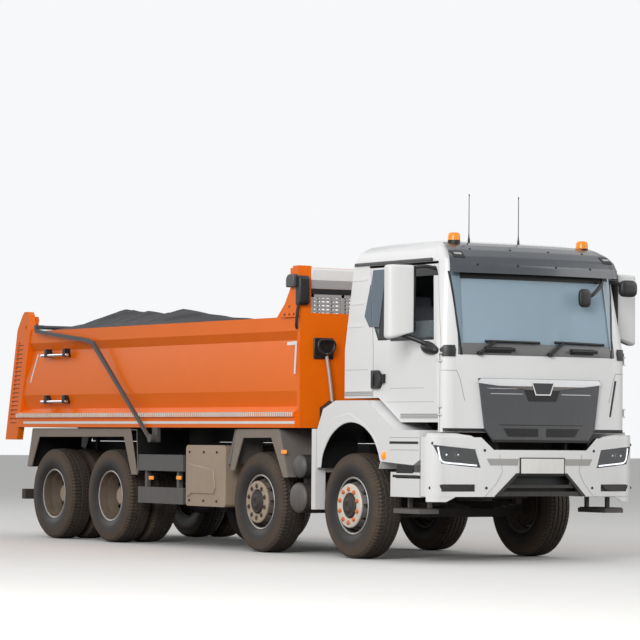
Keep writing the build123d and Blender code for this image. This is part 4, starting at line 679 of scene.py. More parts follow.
# The finish of each plain node. A name's start gives it for those of a kind, and what no row names is chassis paint.
NODE_FINISH = {node: name for name, nodes in {
    "orange_paint": ("tub", "tailgate", "headboard"), "sheet_mesh": ("sheet",), "arm_grey": ("sheet_arms",),
    "cab_paint": ("cab_rear", "cab_roof", "cab_front", "door_right", "door_left", "bumper", "front_fenders"),
    "grille_grey": ("grille_flap",), "iron": ("engine",), "grey_plastic": ("mudguards",),
    "guard_grey": ("side_guards",), "box_beige": ("exhaust_box",), "tank_metal": ("fuel_tank",),
    "black_plastic": ("lamps", "mirror_right", "mirror_left"), "screen": ("windscreen",),
    "window": ("door_glass_right", "door_glass_left"), "smoke_plastic": ("sun_visor",), "amber": ("beacons",),
    "trim_dark": ("cab_floor", "dashboard"), "seat_cloth": ("seats",)}.items() for node in nodes}
KIND_FINISH = {"rim_1": "rim_grey", "rim_2": "rim_brown", "rim": "wheel_paint", "tyre": "rubber", "knuckle": "iron",
               "hoist_stage": "ram_chrome"}
# Nodes that show get a merged copy, whose edges stay crisp over this many degrees.
CRISP = {node: angle for angle, nodes in {
    8.0: ("tub", "tailgate", "headboard"), 20.0: ("mudguards", "sheet_arms"), 24.0: ("front_fenders",),
    28.0: ("cab_rear", "cab_roof", "cab_front", "door_right", "door_left", "grille_flap", "bumper", "exhaust_box",
           "fuel_tank", "air_tanks", "chassis_frame", "side_guards", "dashboard")}.items() for node in nodes}
CRISP_RIM = 30.0


def repaint(piece: bpy.types.Object, name: str, rule: Surface) -> None:
    """Gives another finish to the faces that a rule picks by their centres and normals.

    Args:
        piece: the piece.
        name: the second finish.
        rule: takes centres and normals, one row a face, and gives a row of true or false.
    """
    mesh = piece.data
    centres, normals = np.empty(len(mesh.polygons) * 3), np.empty(len(mesh.polygons) * 3)
    mesh.polygons.foreach_get("center", centres)
    mesh.polygons.foreach_get("normal", normals)
    index = np.empty(len(mesh.polygons), np.int32)
    mesh.polygons.foreach_get("material_index", index)
    chosen = rule(centres.reshape(-1, 3), normals.reshape(-1, 3))
    mesh.materials.append(finish(name))
    mesh.polygons.foreach_set("material_index", np.where(chosen, len(mesh.materials) - 1, index).astype(np.int32))


def inward(c: np.ndarray, n: np.ndarray) -> np.ndarray:
    """Faces of the cab's shell that look into the cab: their normals point back at its middle."""
    return ((c - (3.75, 0, 2.15)) / (0.8, 1.1, 0.9) * n).sum(1) < -0.12


def turned_in(c: np.ndarray, n: np.ndarray) -> np.ndarray:
    """Faces that look towards the truck's middle line."""
    return n[:, 1] * c[:, 1] < -0.3


def under_arch(c: np.ndarray, n: np.ndarray) -> np.ndarray:
    """Faces of the front fenders that look at the wheel, inwards or down into the arch, which take near-black as
    painted shade.

    Args:
        c: the faces' centres.
        n: their normals.

    Returns:
        True for each face under an arch.
    """
    to_axle = n[:, 0] * (c[:, 0] - AXLE_1) + n[:, 2] * (c[:, 2] - TYRE_RADIUS)
    near = (c[:, 0] < AXLE_1 + 0.83) & (c[:, 0] > AXLE_1 - 0.56)
    return (near & (to_axle < -0.02)) | turned_in(c, n)


def door_boss(c: np.ndarray, _: np.ndarray) -> np.ndarray:
    """Faces of the block that the door's handle sits on."""
    return (np.abs(c[:, 1]) > 1.121) & (np.abs(c[:, 0] - AXLE_1 - 0.42) < 0.115) & (np.abs(c[:, 2] - 1.80) < 0.06)


SHELL_RULE = ("trim_dark", inward)
DOOR_RULES = (SHELL_RULE, ("pit_black", door_boss))
FACE_RULES: dict[str, tuple[tuple[str, Surface], ...]] = {
    # The faces in the front arches take near-black as painted shade; the fenders' lowest faces are grey.
    "front_fenders": (("pit_black", under_arch), ("guard_grey", lambda c, n: c[:, 2] < 0.66)),
    # The mudguards' downward and inner faces take near-black: painted shade under and behind them.
    "mudguards": (("pit_black", lambda c, n: (n[:, 2] < -0.3) | (np.abs(c[:, 1]) < 1.0)),),
    # The tub's faces under its floor and those that look down take near-black: painted shade under the body.
    "tub": (("pit_black", lambda c, n: (c[:, 2] < 1.415) & ((np.abs(c[:, 1]) < 1.2) | (n[:, 2] < -0.5))),),
    "cab_rear": (SHELL_RULE,), "cab_roof": (("trim_grey", inward),), "cab_front": (SHELL_RULE,),
    "door_right": DOOR_RULES, "door_left": DOOR_RULES,
    # The bumper's back and inward faces take near-black: painted shade behind it.
    "bumper": (("pit_black", lambda c, n: (n[:, 0] < -0.3) | turned_in(c, n)),),
    "headboard": (("cab_paint", lambda c, n: (c[:, 2] > 2.83) & (c[:, 0] < 1.99) & (np.abs(c[:, 1]) < 1.262)),
                  ("strip_grey", lambda c, n: (c[:, 2] > 2.46) & (c[:, 2] < 2.70) & (np.abs(c[:, 1]) < 1.125))),
}


def dress_nodes() -> None:
    """Gives each CAD node its finish, and refined copies of those that show."""
    bodies = {node: body for body, nodes in frame["record"]["behaviour"]["bodies"].items() for node in nodes}
    for node, obj in frame["nodes"].items():
        kinds = [name for start, name in KIND_FINISH.items() if node.startswith(start)]
        name = kinds[0] if kinds else NODE_FINISH.get(node, "chassis_paint")
        for slot in obj.material_slots:
            slot.material = finish(name)
        if node in CRISP or node.startswith("rim"):
            piece = refined(node, name, CRISP.get(node, CRISP_RIM))
            for other, rule in FACE_RULES.get(node, ()):
                repaint(piece, other, rule)
            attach(piece, bodies[node])
    LOG.info("dressed %d nodes", len(frame["nodes"]))


# ---------------------------------------------------------------- forms that the dressing follows


def plan_front(y: np.ndarray, nose: np.ndarray | float, half: np.ndarray | float, corner: float, crown: float
               ) -> np.ndarray:
    """Where a crowned plan's front lies: one wide arc through the nose, and a smaller arc round each corner.

    Args:
        y: distances from the middle.
        nose: X of the front at the middle.
        half: half the width.
        corner: size of the corner rounding.
        crown: how far the cheeks lie behind the nose.

    Returns:
        X at each y.
    """
    a = np.abs(y)
    flat = half - 1.05 * corner
    wide = (flat ** 2 + crown ** 2) / (2 * crown)
    front = nose - wide + np.sqrt(np.maximum(wide ** 2 - a ** 2, 0))
    cheek = nose - crown
    # The corner's arc goes through three points, (ax, ay) to (cx, cy), and its centre is (ox, oy).
    ax, ay, bx, by, cx, cy = (cheek, flat, cheek - 0.22 * corner, half - 0.3 * corner, cheek - corner, half)
    d = 2 * (ax * (by - cy) + bx * (cy - ay) + cx * (ay - by))
    sa, sb, sc = ax * ax + ay * ay, bx * bx + by * by, cx * cx + cy * cy
    ox = (sa * (by - cy) + sb * (cy - ay) + sc * (ay - by)) / d
    oy = (sa * (cx - bx) + sb * (ax - cx) + sc * (bx - ax)) / d
    radius = np.hypot(ax - ox, ay - oy)
    bend = ox + np.sqrt(np.maximum(radius ** 2 - (a - oy) ** 2, 0))
    return np.where(a <= flat, front, bend)


CAB_Z = (1.275, 1.82, 2.06, 2.10, 2.84, 2.96, 3.07, 3.135, 3.165)
CAB_FRONT = (4.58, 4.58, 4.575, 4.57, 4.47, 4.445, 4.32, 4.18, 4.02)
CAB_HALF = (1.12, 1.12, 1.12, 1.12, 1.03, 1.015, 0.975, 0.89, 0.76)
CAB_CORNER = 0.14
CAB_CROWN = 0.06
FLAP_PROUD = 0.026
VISOR_Z = (2.822, 2.90, 2.98, 3.05, 3.10, 3.130)
VISOR_NOSE = (4.555, 4.548, 4.512, 4.43, 4.335, 4.245)
VISOR_HALF = (1.055, 1.052, 1.036, 1.000, 0.957, 0.925)


def cab_front(y: np.ndarray, z: np.ndarray) -> np.ndarray:
    """X of the cab's front skin at a place across and up it."""
    return plan_front(y, np.interp(z, CAB_Z, CAB_FRONT), np.interp(z, CAB_Z, CAB_HALF), CAB_CORNER, CAB_CROWN)


def cab_side(z: np.ndarray) -> np.ndarray:
    """Half the cab's width at a height."""
    return np.interp(z, CAB_Z, CAB_HALF)


def flap_front(y: np.ndarray, z: np.ndarray) -> np.ndarray:
    """X of the flap's front skin, which stands proud of the cab's lower front all the way up."""
    return plan_front(y, CAB_FRONT[0], CAB_HALF[0], CAB_CORNER, CAB_CROWN) + FLAP_PROUD + 0 * z


def bumper_front(y: np.ndarray, z: np.ndarray) -> np.ndarray:
    """X of the bumper's front skin."""
    return plan_front(y, 4.61, 1.24, 0.15, 0.11) + 0 * z


def visor_front(y: np.ndarray, z: np.ndarray) -> np.ndarray:
    """X of the visor's skin: the crowned plan, with its nose and half width read from the brow's own heights."""
    return plan_front(y, np.interp(z, VISOR_Z, VISOR_NOSE), np.interp(z, VISOR_Z, VISOR_HALF), 0.115, CAB_CROWN)


def on_skin(front: Surface, y: float, z: float, off: float = 0.0, side: int = 1) -> tuple[float, float, float]:
    """A point that stands a distance off a front skin, at a place across and up it."""
    return float(front(np.array(y), np.array(z))) + off, side * y, z


def band(z0: float, z1: float, low: float, high: float) -> list[tuple[float, float, float]]:
    """The rows of an outline as wide at its bottom as at its top."""
    return [(z0, low, high), (z1, low, high)]


def even(*rows: tuple[float, float]) -> list[tuple[float, float, float]]:
    """The rows of an outline that reaches as far to the left as to the right, from pairs (z, half width)."""
    return [(z, -half, half) for z, half in rows]


def between_rows(rows: Points, up: int, across: int) -> tuple[np.ndarray, np.ndarray]:
    """A grid over an outline given by rows (z, from, to), with straight edges between them: places and heights.

    Args:
        rows: (z, from, to) of each level, from the bottom up.
        up: steps from one row to the next.
        across: points across.

    Returns:
        Place across and height of each point of the grid.
    """
    level, low, high = np.asarray(rows, float).T
    number = np.arange(len(rows))
    steps = np.linspace(0, len(rows) - 1, (len(rows) - 1) * up + 1)
    z, start, end = (np.interp(steps, number, values)[:, None] for values in (level, low, high))
    along = start + (end - start) * np.linspace(0, 1, across)[None]
    return along, z + 0 * along


def faced(front: Surface, rows: Points, lift: float, thickness: float, material: str, across: int = 24, up: int = 8,
          side: int = 1, name: str = "plate") -> bpy.types.Object:
    """A thin plate that follows a crowned front: rows (z, y from, y to) give its outline from bottom to top.

    Args:
        front: gives the skin's X.
        rows: the outline, with straight edges between rows.
        lift: how far the plate's middle stands off the skin.
        thickness: of the plate.
        material: its finish.
        across: points across.
        up: points up between rows.
        side: -1 for an outline given for the left that lies on the right.
        name: the piece's name, where it stays a piece of its own.

    Returns:
        The plate.
    """
    y, z = between_rows(np.asarray(rows, float) * (1, side, side), up, across)
    points = np.stack([front(y, z) + lift, y, z], -1)
    return walled(new_object(name, points.reshape(-1, 3), grid_faces(*y.shape), material, 40), thickness)


def sided(rows: Points, side: int, lift: float, thickness: float, material: str, up: int = 4) -> bpy.types.Object:
    """A thin plate on the cab's side wall: rows (z, x from, x to) give its outline from bottom to top."""
    x, z = between_rows(rows, up, 6)
    points = np.stack([x, side * (cab_side(z) + lift), z], -1)
    return walled(new_object("plate", points.reshape(-1, 3), grid_faces(*x.shape), material, 40), thickness)


def placed(piece: bpy.types.Object, body: str) -> bpy.types.Object:
    """Puts a finished piece on its body."""
    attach(piece, body)
    LOG.info("%s on %s", piece.name, body)
    return piece


# ---------------------------------------------------------------- wheels


@dataclass
class Tyre:
    """A tyre: its carcass section carried round the axle, with ribs or lugs cut into the tread."""

    name: str
    axle_x: float
    middle_y: float
    driven: bool
    steps: int = 320
    groove: float = 0.011
    half_tread: float = 0.111

    def section(self) -> np.ndarray:
        """Points (across, radius): sidewalls through the bulge, a shoulder and the crowned tread.

        Returns:
            One row for each point, from one bead to the other.
        """
        wall = np.array([(-0.1125, 0.286), (-0.128, 0.305), (-0.145, 0.345), (-0.1505, 0.396), (-0.148, 0.44),
                         (-0.1395, 0.487)])
        side = smooth_path(np.c_[wall, np.zeros(len(wall))], 16)[:, :2]
        y = np.linspace(-0.1375, 0.1375, 46)
        crown = (TYRE_RADIUS - 0.006 * (y / self.half_tread) ** 2
                 - 0.9 * np.maximum(np.abs(y) - self.half_tread, 0))
        return np.vstack([side, np.c_[y, crown], side[::-1] * (-1, 1)])

    def build(self) -> bpy.types.Object:
        """The tyre; radius falls by the groove's depth where the tread pattern says so.

        Returns:
            The tyre, at its place under the truck.
        """
        y, radius = self.section().T
        step = np.arange(self.steps)[:, None]
        across = y[None] + 0 * step
        r = radius[None] + 0 * step
        tread = r > 0.5
        wave = 0.003 * np.sin(step * np.pi / 4)
        rings = (np.abs(np.abs(across) - 0.026 - wave) < 0.0045) | (np.abs(np.abs(across) - 0.074 + wave) < 0.0045)
        slots = (step % 4 == 0) & (np.abs(across) > (0.03 if self.driven else 0.088))
        r = r - np.where(tread & (rings | slots), self.groove, 0.0)
        # Small ribs stand out round the shoulder, and a raised line runs round each sidewall.
        r = r + np.where(~tread & (np.abs(r - 0.478) < 0.010) & (step % 4 != 0), 0.002, 0.0)
        swell = 0.0016 * np.sign(across) * (np.abs(radius - 0.425)[None] < 0.006)
        angle = step * 2 * np.pi / self.steps
        verts = np.stack([self.axle_x + r * np.cos(angle), self.middle_y + across + swell,
                          TYRE_RADIUS + r * np.sin(angle)], -1)
        piece = new_object(self.name, verts.reshape(-1, 3), grid_faces(self.steps, len(y), True), "tyre", 28)
        self.mark_dust_and_shade(piece.data)
        return piece

    def mark_dust_and_shade(self, mesh: bpy.types.Mesh) -> None:
        """Writes the band attribute: it grows from the rim outwards and falls again on the tread, which darkens the
        tread partly as darker rubber and partly as painted shade.

        Args:
            mesh: the tyre's mesh.
        """
        mark = mesh.attributes.new("band", "FLOAT", "POINT")
        coords = np.empty(len(mesh.vertices) * 3)
        mesh.vertices.foreach_get("co", coords)
        coords = coords.reshape(-1, 3)
        far = np.hypot(coords[:, 0] - self.axle_x, coords[:, 2] - TYRE_RADIUS)
        # The tread keeps less dust and shows darker: partly darker rubber, partly painted shade on the tread.
        tread_shade_and_dust = np.where(far > 0.512, 0.42, 1.0)
        mark.data.foreach_set("value", (np.clip((far - 0.385) / 0.05, 0, 1) * tread_shade_and_dust).astype(np.float32))


@dataclass
class Wheels:
    """Every tyre and the dressing of the hubs: nut rings, caps, hub covers and bright rim edges."""

    face: float = 1.170
    driven_face: float = 1.02
    nut_circle: float = 0.1675
    bolt_circle: float = 0.118
    rim_lip: Points = ((-0.004, 0.270), (0, 0.276), (0.003, 0.283), (-0.002, 0.289), (-0.010, 0.288))

    def build(self) -> None:
        """Makes the tyres, then the hub dressings."""
        for number, axle_x in enumerate(AXLES, 1):
            for word, side in SIDES.items():
                if number < 3:
                    piece = Tyre(f"tyre_skin_{number}_{word}", axle_x, side * 1.04, False).build()
                    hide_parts(f"tyre_{number}_{word}")
                    placed(piece, f"wheel_{number}_{word}")
                    parts, body = self.steered_hub(number, axle_x, side), f"wheel_{number}_{word}"
                else:
                    pair = [Tyre(f"twin_{number}_{word}_{k}", axle_x, side * (0.91 + k * 0.17), True).build()
                            for k in (-1, 1)]
                    for piece in pair:
                        placed(piece, f"wheels_{number}_{word}")
                        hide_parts(f"tyres_{number}_{word}")
                    parts, body = self.driven_hub(axle_x, side), f"wheels_{number}_{word}"
                placed(join(f"hub_dress_{number}_{word}", parts), body)

    @staticmethod
    def circle(axle_x: float, radius: float, count: int, first: float = 0.0) -> list[tuple[float, float, float]]:
        """Places spread evenly round an axle, from an angle in degrees."""
        turns = [math.radians(first + 360 // count * k) for k in range(count)]
        return [(axle_x + radius * math.cos(a), 0, TYRE_RADIUS + radius * math.sin(a)) for a in turns]

    def steered_hub(self, number: int, axle_x: float, side: int) -> list[bpy.types.Object]:
        """Nut ring, ten caps or bare nuts, hub cover and rim edge on a steered wheel.

        Args:
            number: the axle's number from the front.
            axle_x: its place along the truck.
            side: 1 for the left, -1 for the right.

        Returns:
            The pieces, in the order that they are joined in.
        """
        centre, out = (axle_x, 0, TYRE_RADIUS), {"start": side * self.face, "way": side}
        ring = [(0, 0.214), (0.024, 0.222), (0.034, 0.214), (0.036, 0.175), (0.034, 0.138), (0.026, 0.129),
                (0, 0.129), (0, 0.214)]
        cap = [(0.03, 0.0225), (0.044, 0.021), (0.054, 0.017), (0.058, 0.009), (0.059, 0.0004)]
        well = [(0.034, 0.026), (0.0375, 0.025), (0.0375, 0.021), (0.036, 0.019)]
        nut = [(0.034, 0.0175), (0.046, 0.0165), (0.047, 0.009), (0.048, 0.0004)]
        hub = [(0, 0.124), (0.036, 0.112), (0.042, 0.104), (0.040, 0.092), (0.046, 0.070), (0.058, 0.060),
               (0.060, 0.040), (0.054, 0.030), (0.054, 0.0004)]
        parts = [lathe(ring, centre, Turn.Y, "hub_cream" if number == 1 else "ring_dusty", 72, **out)]
        for place in self.circle(axle_x, self.nut_circle, 10, 18):
            if number == 1:
                parts.append(lathe(cap, place, Turn.Y, "orange_cap", 20, **out))
            else:
                parts += [lathe(well, place, Turn.Y, "iron", 20, **out), lathe(nut, place, Turn.Y, "iron", 6, **out)]
        parts.append(lathe(hub, centre, Turn.Y, "chassis_paint", 64, **out))
        parts.append(lathe(self.rim_lip, centre, Turn.Y, "rim_edge", 96, side * 1.158, side))
        return parts

    def driven_hub(self, axle_x: float, side: int) -> list[bpy.types.Object]:
        """Reduction-hub cover with its bolt circle, and the rim edge, on a driven pair.

        Args:
            axle_x: the axle's place along the truck.
            side: 1 for the left, -1 for the right.

        Returns:
            The pieces, in the order that they are joined in.
        """
        centre, out = (axle_x, 0, TYRE_RADIUS), {"start": side * self.driven_face, "way": side}
        hub = [(-0.02, 0.142), (0.010, 0.140), (0.020, 0.128), (0.022, 0.106), (0.040, 0.100), (0.052, 0.088),
               (0.055, 0.050), (0.056, 0.0004)]
        bolt = [(0.018, 0.010), (0.030, 0.0095), (0.031, 0.0004)]
        parts = [lathe(hub, centre, Turn.Y, "ring_dusty", 64, **out)]
        parts += [lathe(bolt, place, Turn.Y, "iron", 6, **out) for place in self.circle(axle_x, self.bolt_circle, 12)]
        parts.append(lathe(self.rim_lip, centre, Turn.Y, "rim_edge", 96, side * (1.08 + 0.118), side))
        return parts


# ---------------------------------------------------------------- cab


def squared(power: float, *angles: np.ndarray) -> list[np.ndarray]:
    """Each angle's cosine and sine raised to a power with their signs kept, which squares off a round form."""
    return [np.sign(f) * np.abs(f) ** power for a in angles for f in (np.cos(a), np.sin(a))]


@dataclass
class CabFront:
    """Grille panel, windscreen surround, wipers, grab handles, visor, front mirrors, beacons and aerials."""

    visor_inset: float = 0.036
    grip_z: float = 2.075

    def build(self) -> None:
        """Makes the pieces of the cab's face."""
        self.grille()
        self.cowl()
        self.visor()
        self.panel_lines()
        self.front_mirrors()
        self.beacons()

    def grille(self) -> None:
        """Dark panel on the flap, chrome bar with a blank badge, intake slots and lower lip."""
        parts = [faced(flap_front, rows, lift, thick, name, across, up) for name, lift, thick, across, up, rows in (
            ("chrome", -0.004, 0.014, 60, 3, even((1.752, 0.735), (1.770, 0.738), (1.797, 0.715))),
            ("chrome", 0.001, 0.010, 60, 4, even((1.690, 0.17), (1.752, 0.735))),
            # The bar's lower half is darker chrome: a painted reflection of the ground.
            ("chrome_painted_reflection", 0.003, 0.010, 60, 3, even((1.690, 0.17), (1.728, 0.55))),
            ("chrome", 0.006, 0.012, 20, 4, even((1.640, 0.092), (1.772, 0.14))),
            ("badge_dark", 0.0105, 0.006, 20, 4, even((1.652, 0.080), (1.760, 0.124))),
            ("pit_black", 0.0005, 0.006, 20, 4, even((1.582, 0.165), (1.690, 0.215))),
            ("silver", 0.001, 0.004, 24, 2, [(1.700, -0.60, -0.215), (1.706, -0.66, -0.215)]),
            ("pit_black", 0.0005, 0.003, 40, 2, even((1.345, 0.50), (1.352, 0.515))),
            ("silver", 0.0005, 0.003, 24, 2, [(1.648, -0.60, -0.24), (1.655, -0.61, -0.23)]),
            ("silver", 0.0005, 0.003, 24, 2, [(1.648, 0.24, 0.60), (1.655, 0.23, 0.61)]))]
        # Each intake slot's near-black back is painted shade inside the opening, behind the black louvres.
        for low, high, left, right in ((-0.46, -0.05, 0.06, 0.0), (0.05, 0.46, 0.0, 0.06)):
            rows = [(1.235, low + left, high - right), (1.315, low, high)]
            parts.append(faced(flap_front, rows, 0.0005, 0.006, "pit_black", 24, 3))
            for k in range(7):
                z = 1.243 + k * 0.010
                parts.append(faced(flap_front, band(z, z + 0.003, low + 0.05, high - 0.05), 0.0035, 0.004,
                                   "black_plastic", 24, 1))
        parts.append(faced(flap_front, even((1.182, 0.558), (1.205, 0.575)), 0.0, 0.012, "pit_black", 40, 3))
        placed(join("grille_dress", parts), "front_flap")

    def cowl(self) -> None:
        """Lower windscreen band, wipers, grab handles and the blank name board behind the glass."""
        parts = [faced(cab_front, even((2.028, 0.948), (2.14, 0.945)), -0.006, 0.004, "frit", 60, 4),
                 faced(cab_front, even((2.770, 0.905), (2.838, 0.905)), -0.006, 0.004, "pit_black", 60, 3)]
        for side in SIDES.values():
            for rows, lift, name, across in (([(2.10, 0.898, 0.906), (2.838, 0.866, 0.968)], 0.0, "glass_blue", 8),
                                             ([(2.022, 0.898, 0.922), (2.838, 0.966, 0.986)], 0.0006, "pit_black", 4)):
                parts.append(faced(cab_front, rows, lift, 0.004, name, across, 8, side))
        for middle in (-0.50, 0.52):
            parts += self.grip(middle, self.grip_z)
        for root, elbow, tip in (((-0.72, 2.04), (-0.55, 2.16), (-0.02, 2.155)),
                                 ((0.10, 2.04), (0.27, 2.165), (0.80, 2.155))):
            blade = zip(np.linspace(elbow[0] - 0.10, tip[0], 16), np.linspace(elbow[1], tip[1], 16))
            parts += [tube([on_skin(cab_front, *place, 0.030) for place in (root, elbow)], 0.015, "pit_black", 10, 8),
                      tube([on_skin(cab_front, *place, 0.018) for place in blade], 0.013, "pit_black", 8),
                      tube([on_skin(cab_front, *root, off) for off in (-0.01, 0.038)], 0.022, "black_plastic", 14)]
        placed(join("cowl_dress", parts), "cab")
        placed(faced(cab_front, band(2.165, 2.300, -0.80, -0.33), -0.036, 0.008, "white_tape", 16, 3,
                     name="name_board"), "cab")

    @staticmethod
    def grip(middle: float, z: float) -> list[bpy.types.Object]:
        """A grab handle under the screen: two feet, a bar that follows the skin and the hollow behind it.

        Args:
            middle: the handle's middle across the cab.
            z: its height.

        Returns:
            The pieces, in the order that they are joined in.
        """
        feet = [np.array(on_skin(cab_front, middle + off, z)) for off in (-0.13, 0.13)]
        bar = [np.array(on_skin(cab_front, middle + t, z)) + (0.034, 0, 0.006) for t in np.linspace(-0.165, 0.165, 9)]
        hollow = [(z - 0.028, middle - 0.15, middle + 0.15), (z + 0.032, middle - 0.155, middle + 0.155)]
        return [*(tube([foot + (-0.012, 0, 0), foot + (0.03, 0, 0.004)], 0.014, "black_plastic", 10) for foot in feet),
                tube(bar, 0.019, "pit_black", 12), faced(cab_front, hollow, 0.0, 0.004, "black_plastic", 16, 3)]

    def visor(self) -> None:
        """Smoked visor in one sweep from the screen's top over the brow, its fixing dots and end lamps."""
        rows = even(*((z, half - self.visor_inset) for z, half in zip(VISOR_Z, VISOR_HALF)))
        parts = [faced(visor_front, rows, 0.0, 0.008, "smoke_plastic", 90, 6)]
        dot = [(0.0, 0.012), (0.010, 0.011), (0.011, 0.0003)]
        parts += [lathe(dot, on_skin(visor_front, y, z), Turn.X, "pit_black", 14)
                  for y in (-0.72, -0.26, 0.20, 0.64) for z in (2.905, 3.060)]
        for side in SIDES.values():
            y = side * 0.90
            lamp = [(2.968, y - 0.060, y + 0.060), (3.035, y - 0.068, y + 0.062)]
            lens = [(3.000, y - 0.040, y + 0.040), (3.020, y - 0.042, y + 0.042)]
            stay = [(4.40, side * 0.70, 2.965), (4.475, side * 0.70, 2.965)]
            parts += [faced(visor_front, lamp, 0.006, 0.010, "pit_black", 12, 3),
                      faced(visor_front, lens, 0.012, 0.005, "strip_grey", 12, 3), tube(stay, 0.010, "pit_black", 10)]
        parts.append(tube([(4.44, 0.0, 2.965), (4.50, 0.0, 2.965)], 0.010, "pit_black", 10))
        piece = join("visor", parts)
        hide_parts("sun_visor")
        placed(piece, "cab")

    def panel_lines(self) -> None:
        """The dark slot in the left corner panel, the corner creases and the gap over the bumper."""
        parts = [faced(cab_front, [(1.44, 0.880, 0.900), (1.80, 0.950, 0.975)], 0.001, 0.004, "pit_black", 4, 8)]
        crease = [(1.58, 0.872, 0.878), (1.79, 0.925, 0.931), (1.872, 0.962, 0.968)]
        pod_root = [(2.005, 0.985, 1.100), (2.075, 0.975, 1.112), (2.115, 0.985, 1.085)]
        for side in SIDES.values():
            for rows, lift, thick, name, across, up in (
                    (crease, 0.0005, 0.002, "strip_grey", 3, 8),
                    (band(1.867, 1.873, 0.965, 1.105), 0.0005, 0.002, "strip_grey", 12, 2),
                    ([(1.278, 0.60, 1.09), (1.312, 0.60, 1.095)], 0.001, 0.003, "pit_black", 20, 2),
                    (pod_root, 0.005, 0.010, "black_plastic", 12, 4)):
                parts.append(faced(cab_front, rows, lift, thick, name, across, up, side))
        placed(join("corner_lines", parts), "cab")

    def front_mirrors(self) -> None:
        """The kerb mirror over the left window and the mirror that looks down across the nose."""
        def head(centre: Sequence[float], size: Sequence[float]) -> Surface:
            """A squared-off ellipsoid about a centre."""
            def shape(u: np.ndarray, v: np.ndarray) -> np.ndarray:
                """Its points by turn and tilt."""
                cos_u, sin_u, cos_v, sin_v = squared(0.6, u, v)
                return np.stack([centre[0] + size[0] * cos_v, centre[1] + size[1] * cos_u * sin_v,
                                 centre[2] + size[2] * sin_u * sin_v], -1)
            return shape
        black = "black_plastic"
        parts = [patch(head(centre, size), FULL_TURN, POLE_TO_POLE, (40, 24), black) for centre, size in (
            ((4.43, 1.185, 2.735), (0.045, 0.105, 0.085)), ((4.560, 0.545, 2.615), (0.028, 0.070, 0.092)))]
        parts += [tube([(4.38, 0.985, 2.80), (4.42, 1.05, 2.79), (4.43, 1.12, 2.76)], 0.022, black, 12, 20),
                  tube([(4.455, 0.84, 2.79), (4.53, 0.76, 2.74), (4.565, 0.66, 2.665), (4.563, 0.60, 2.63)],
                       0.019, black, 12, 30)]
        placed(join("front_mirrors", parts), "cab")

    def beacons(self) -> None:
        """Two low amber beacons on black feet and two thin aerials on sprung bases."""
        parts = []
        for y, lift in ((-0.765, 0.0), (0.800, -0.022)):
            foot = [(3.105, 0.062), (3.152 + lift, 0.062), (3.158 + lift, 0.054), (3.158 + lift, 0.0003)]
            dome = [(z + lift, radius) for z, radius in ((3.156, 0.062), (3.206, 0.060), (3.226, 0.050),
                                                         (3.233, 0.025), (3.234, 0.0003))]
            parts += [lathe(profile, (4.17, y, 0), Turn.Z, name, 40)
                      for profile, name in ((foot, "pit_black"), (dome, "amber"))]
        whip = [(3.12, 0.013), (3.175, 0.012), (3.20, 0.007), (3.24, 0.0045), (3.60, 0.0035), (3.61, 0.006),
                (3.62, 0.006), (3.625, 0.0003)]
        parts += [lathe(whip, (4.11, y, 0), Turn.Z, "pit_black", 12) for y in (-0.545, 0.055)]
        piece = join("beacon_dress", parts)
        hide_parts("beacons")
        placed(piece, "cab")


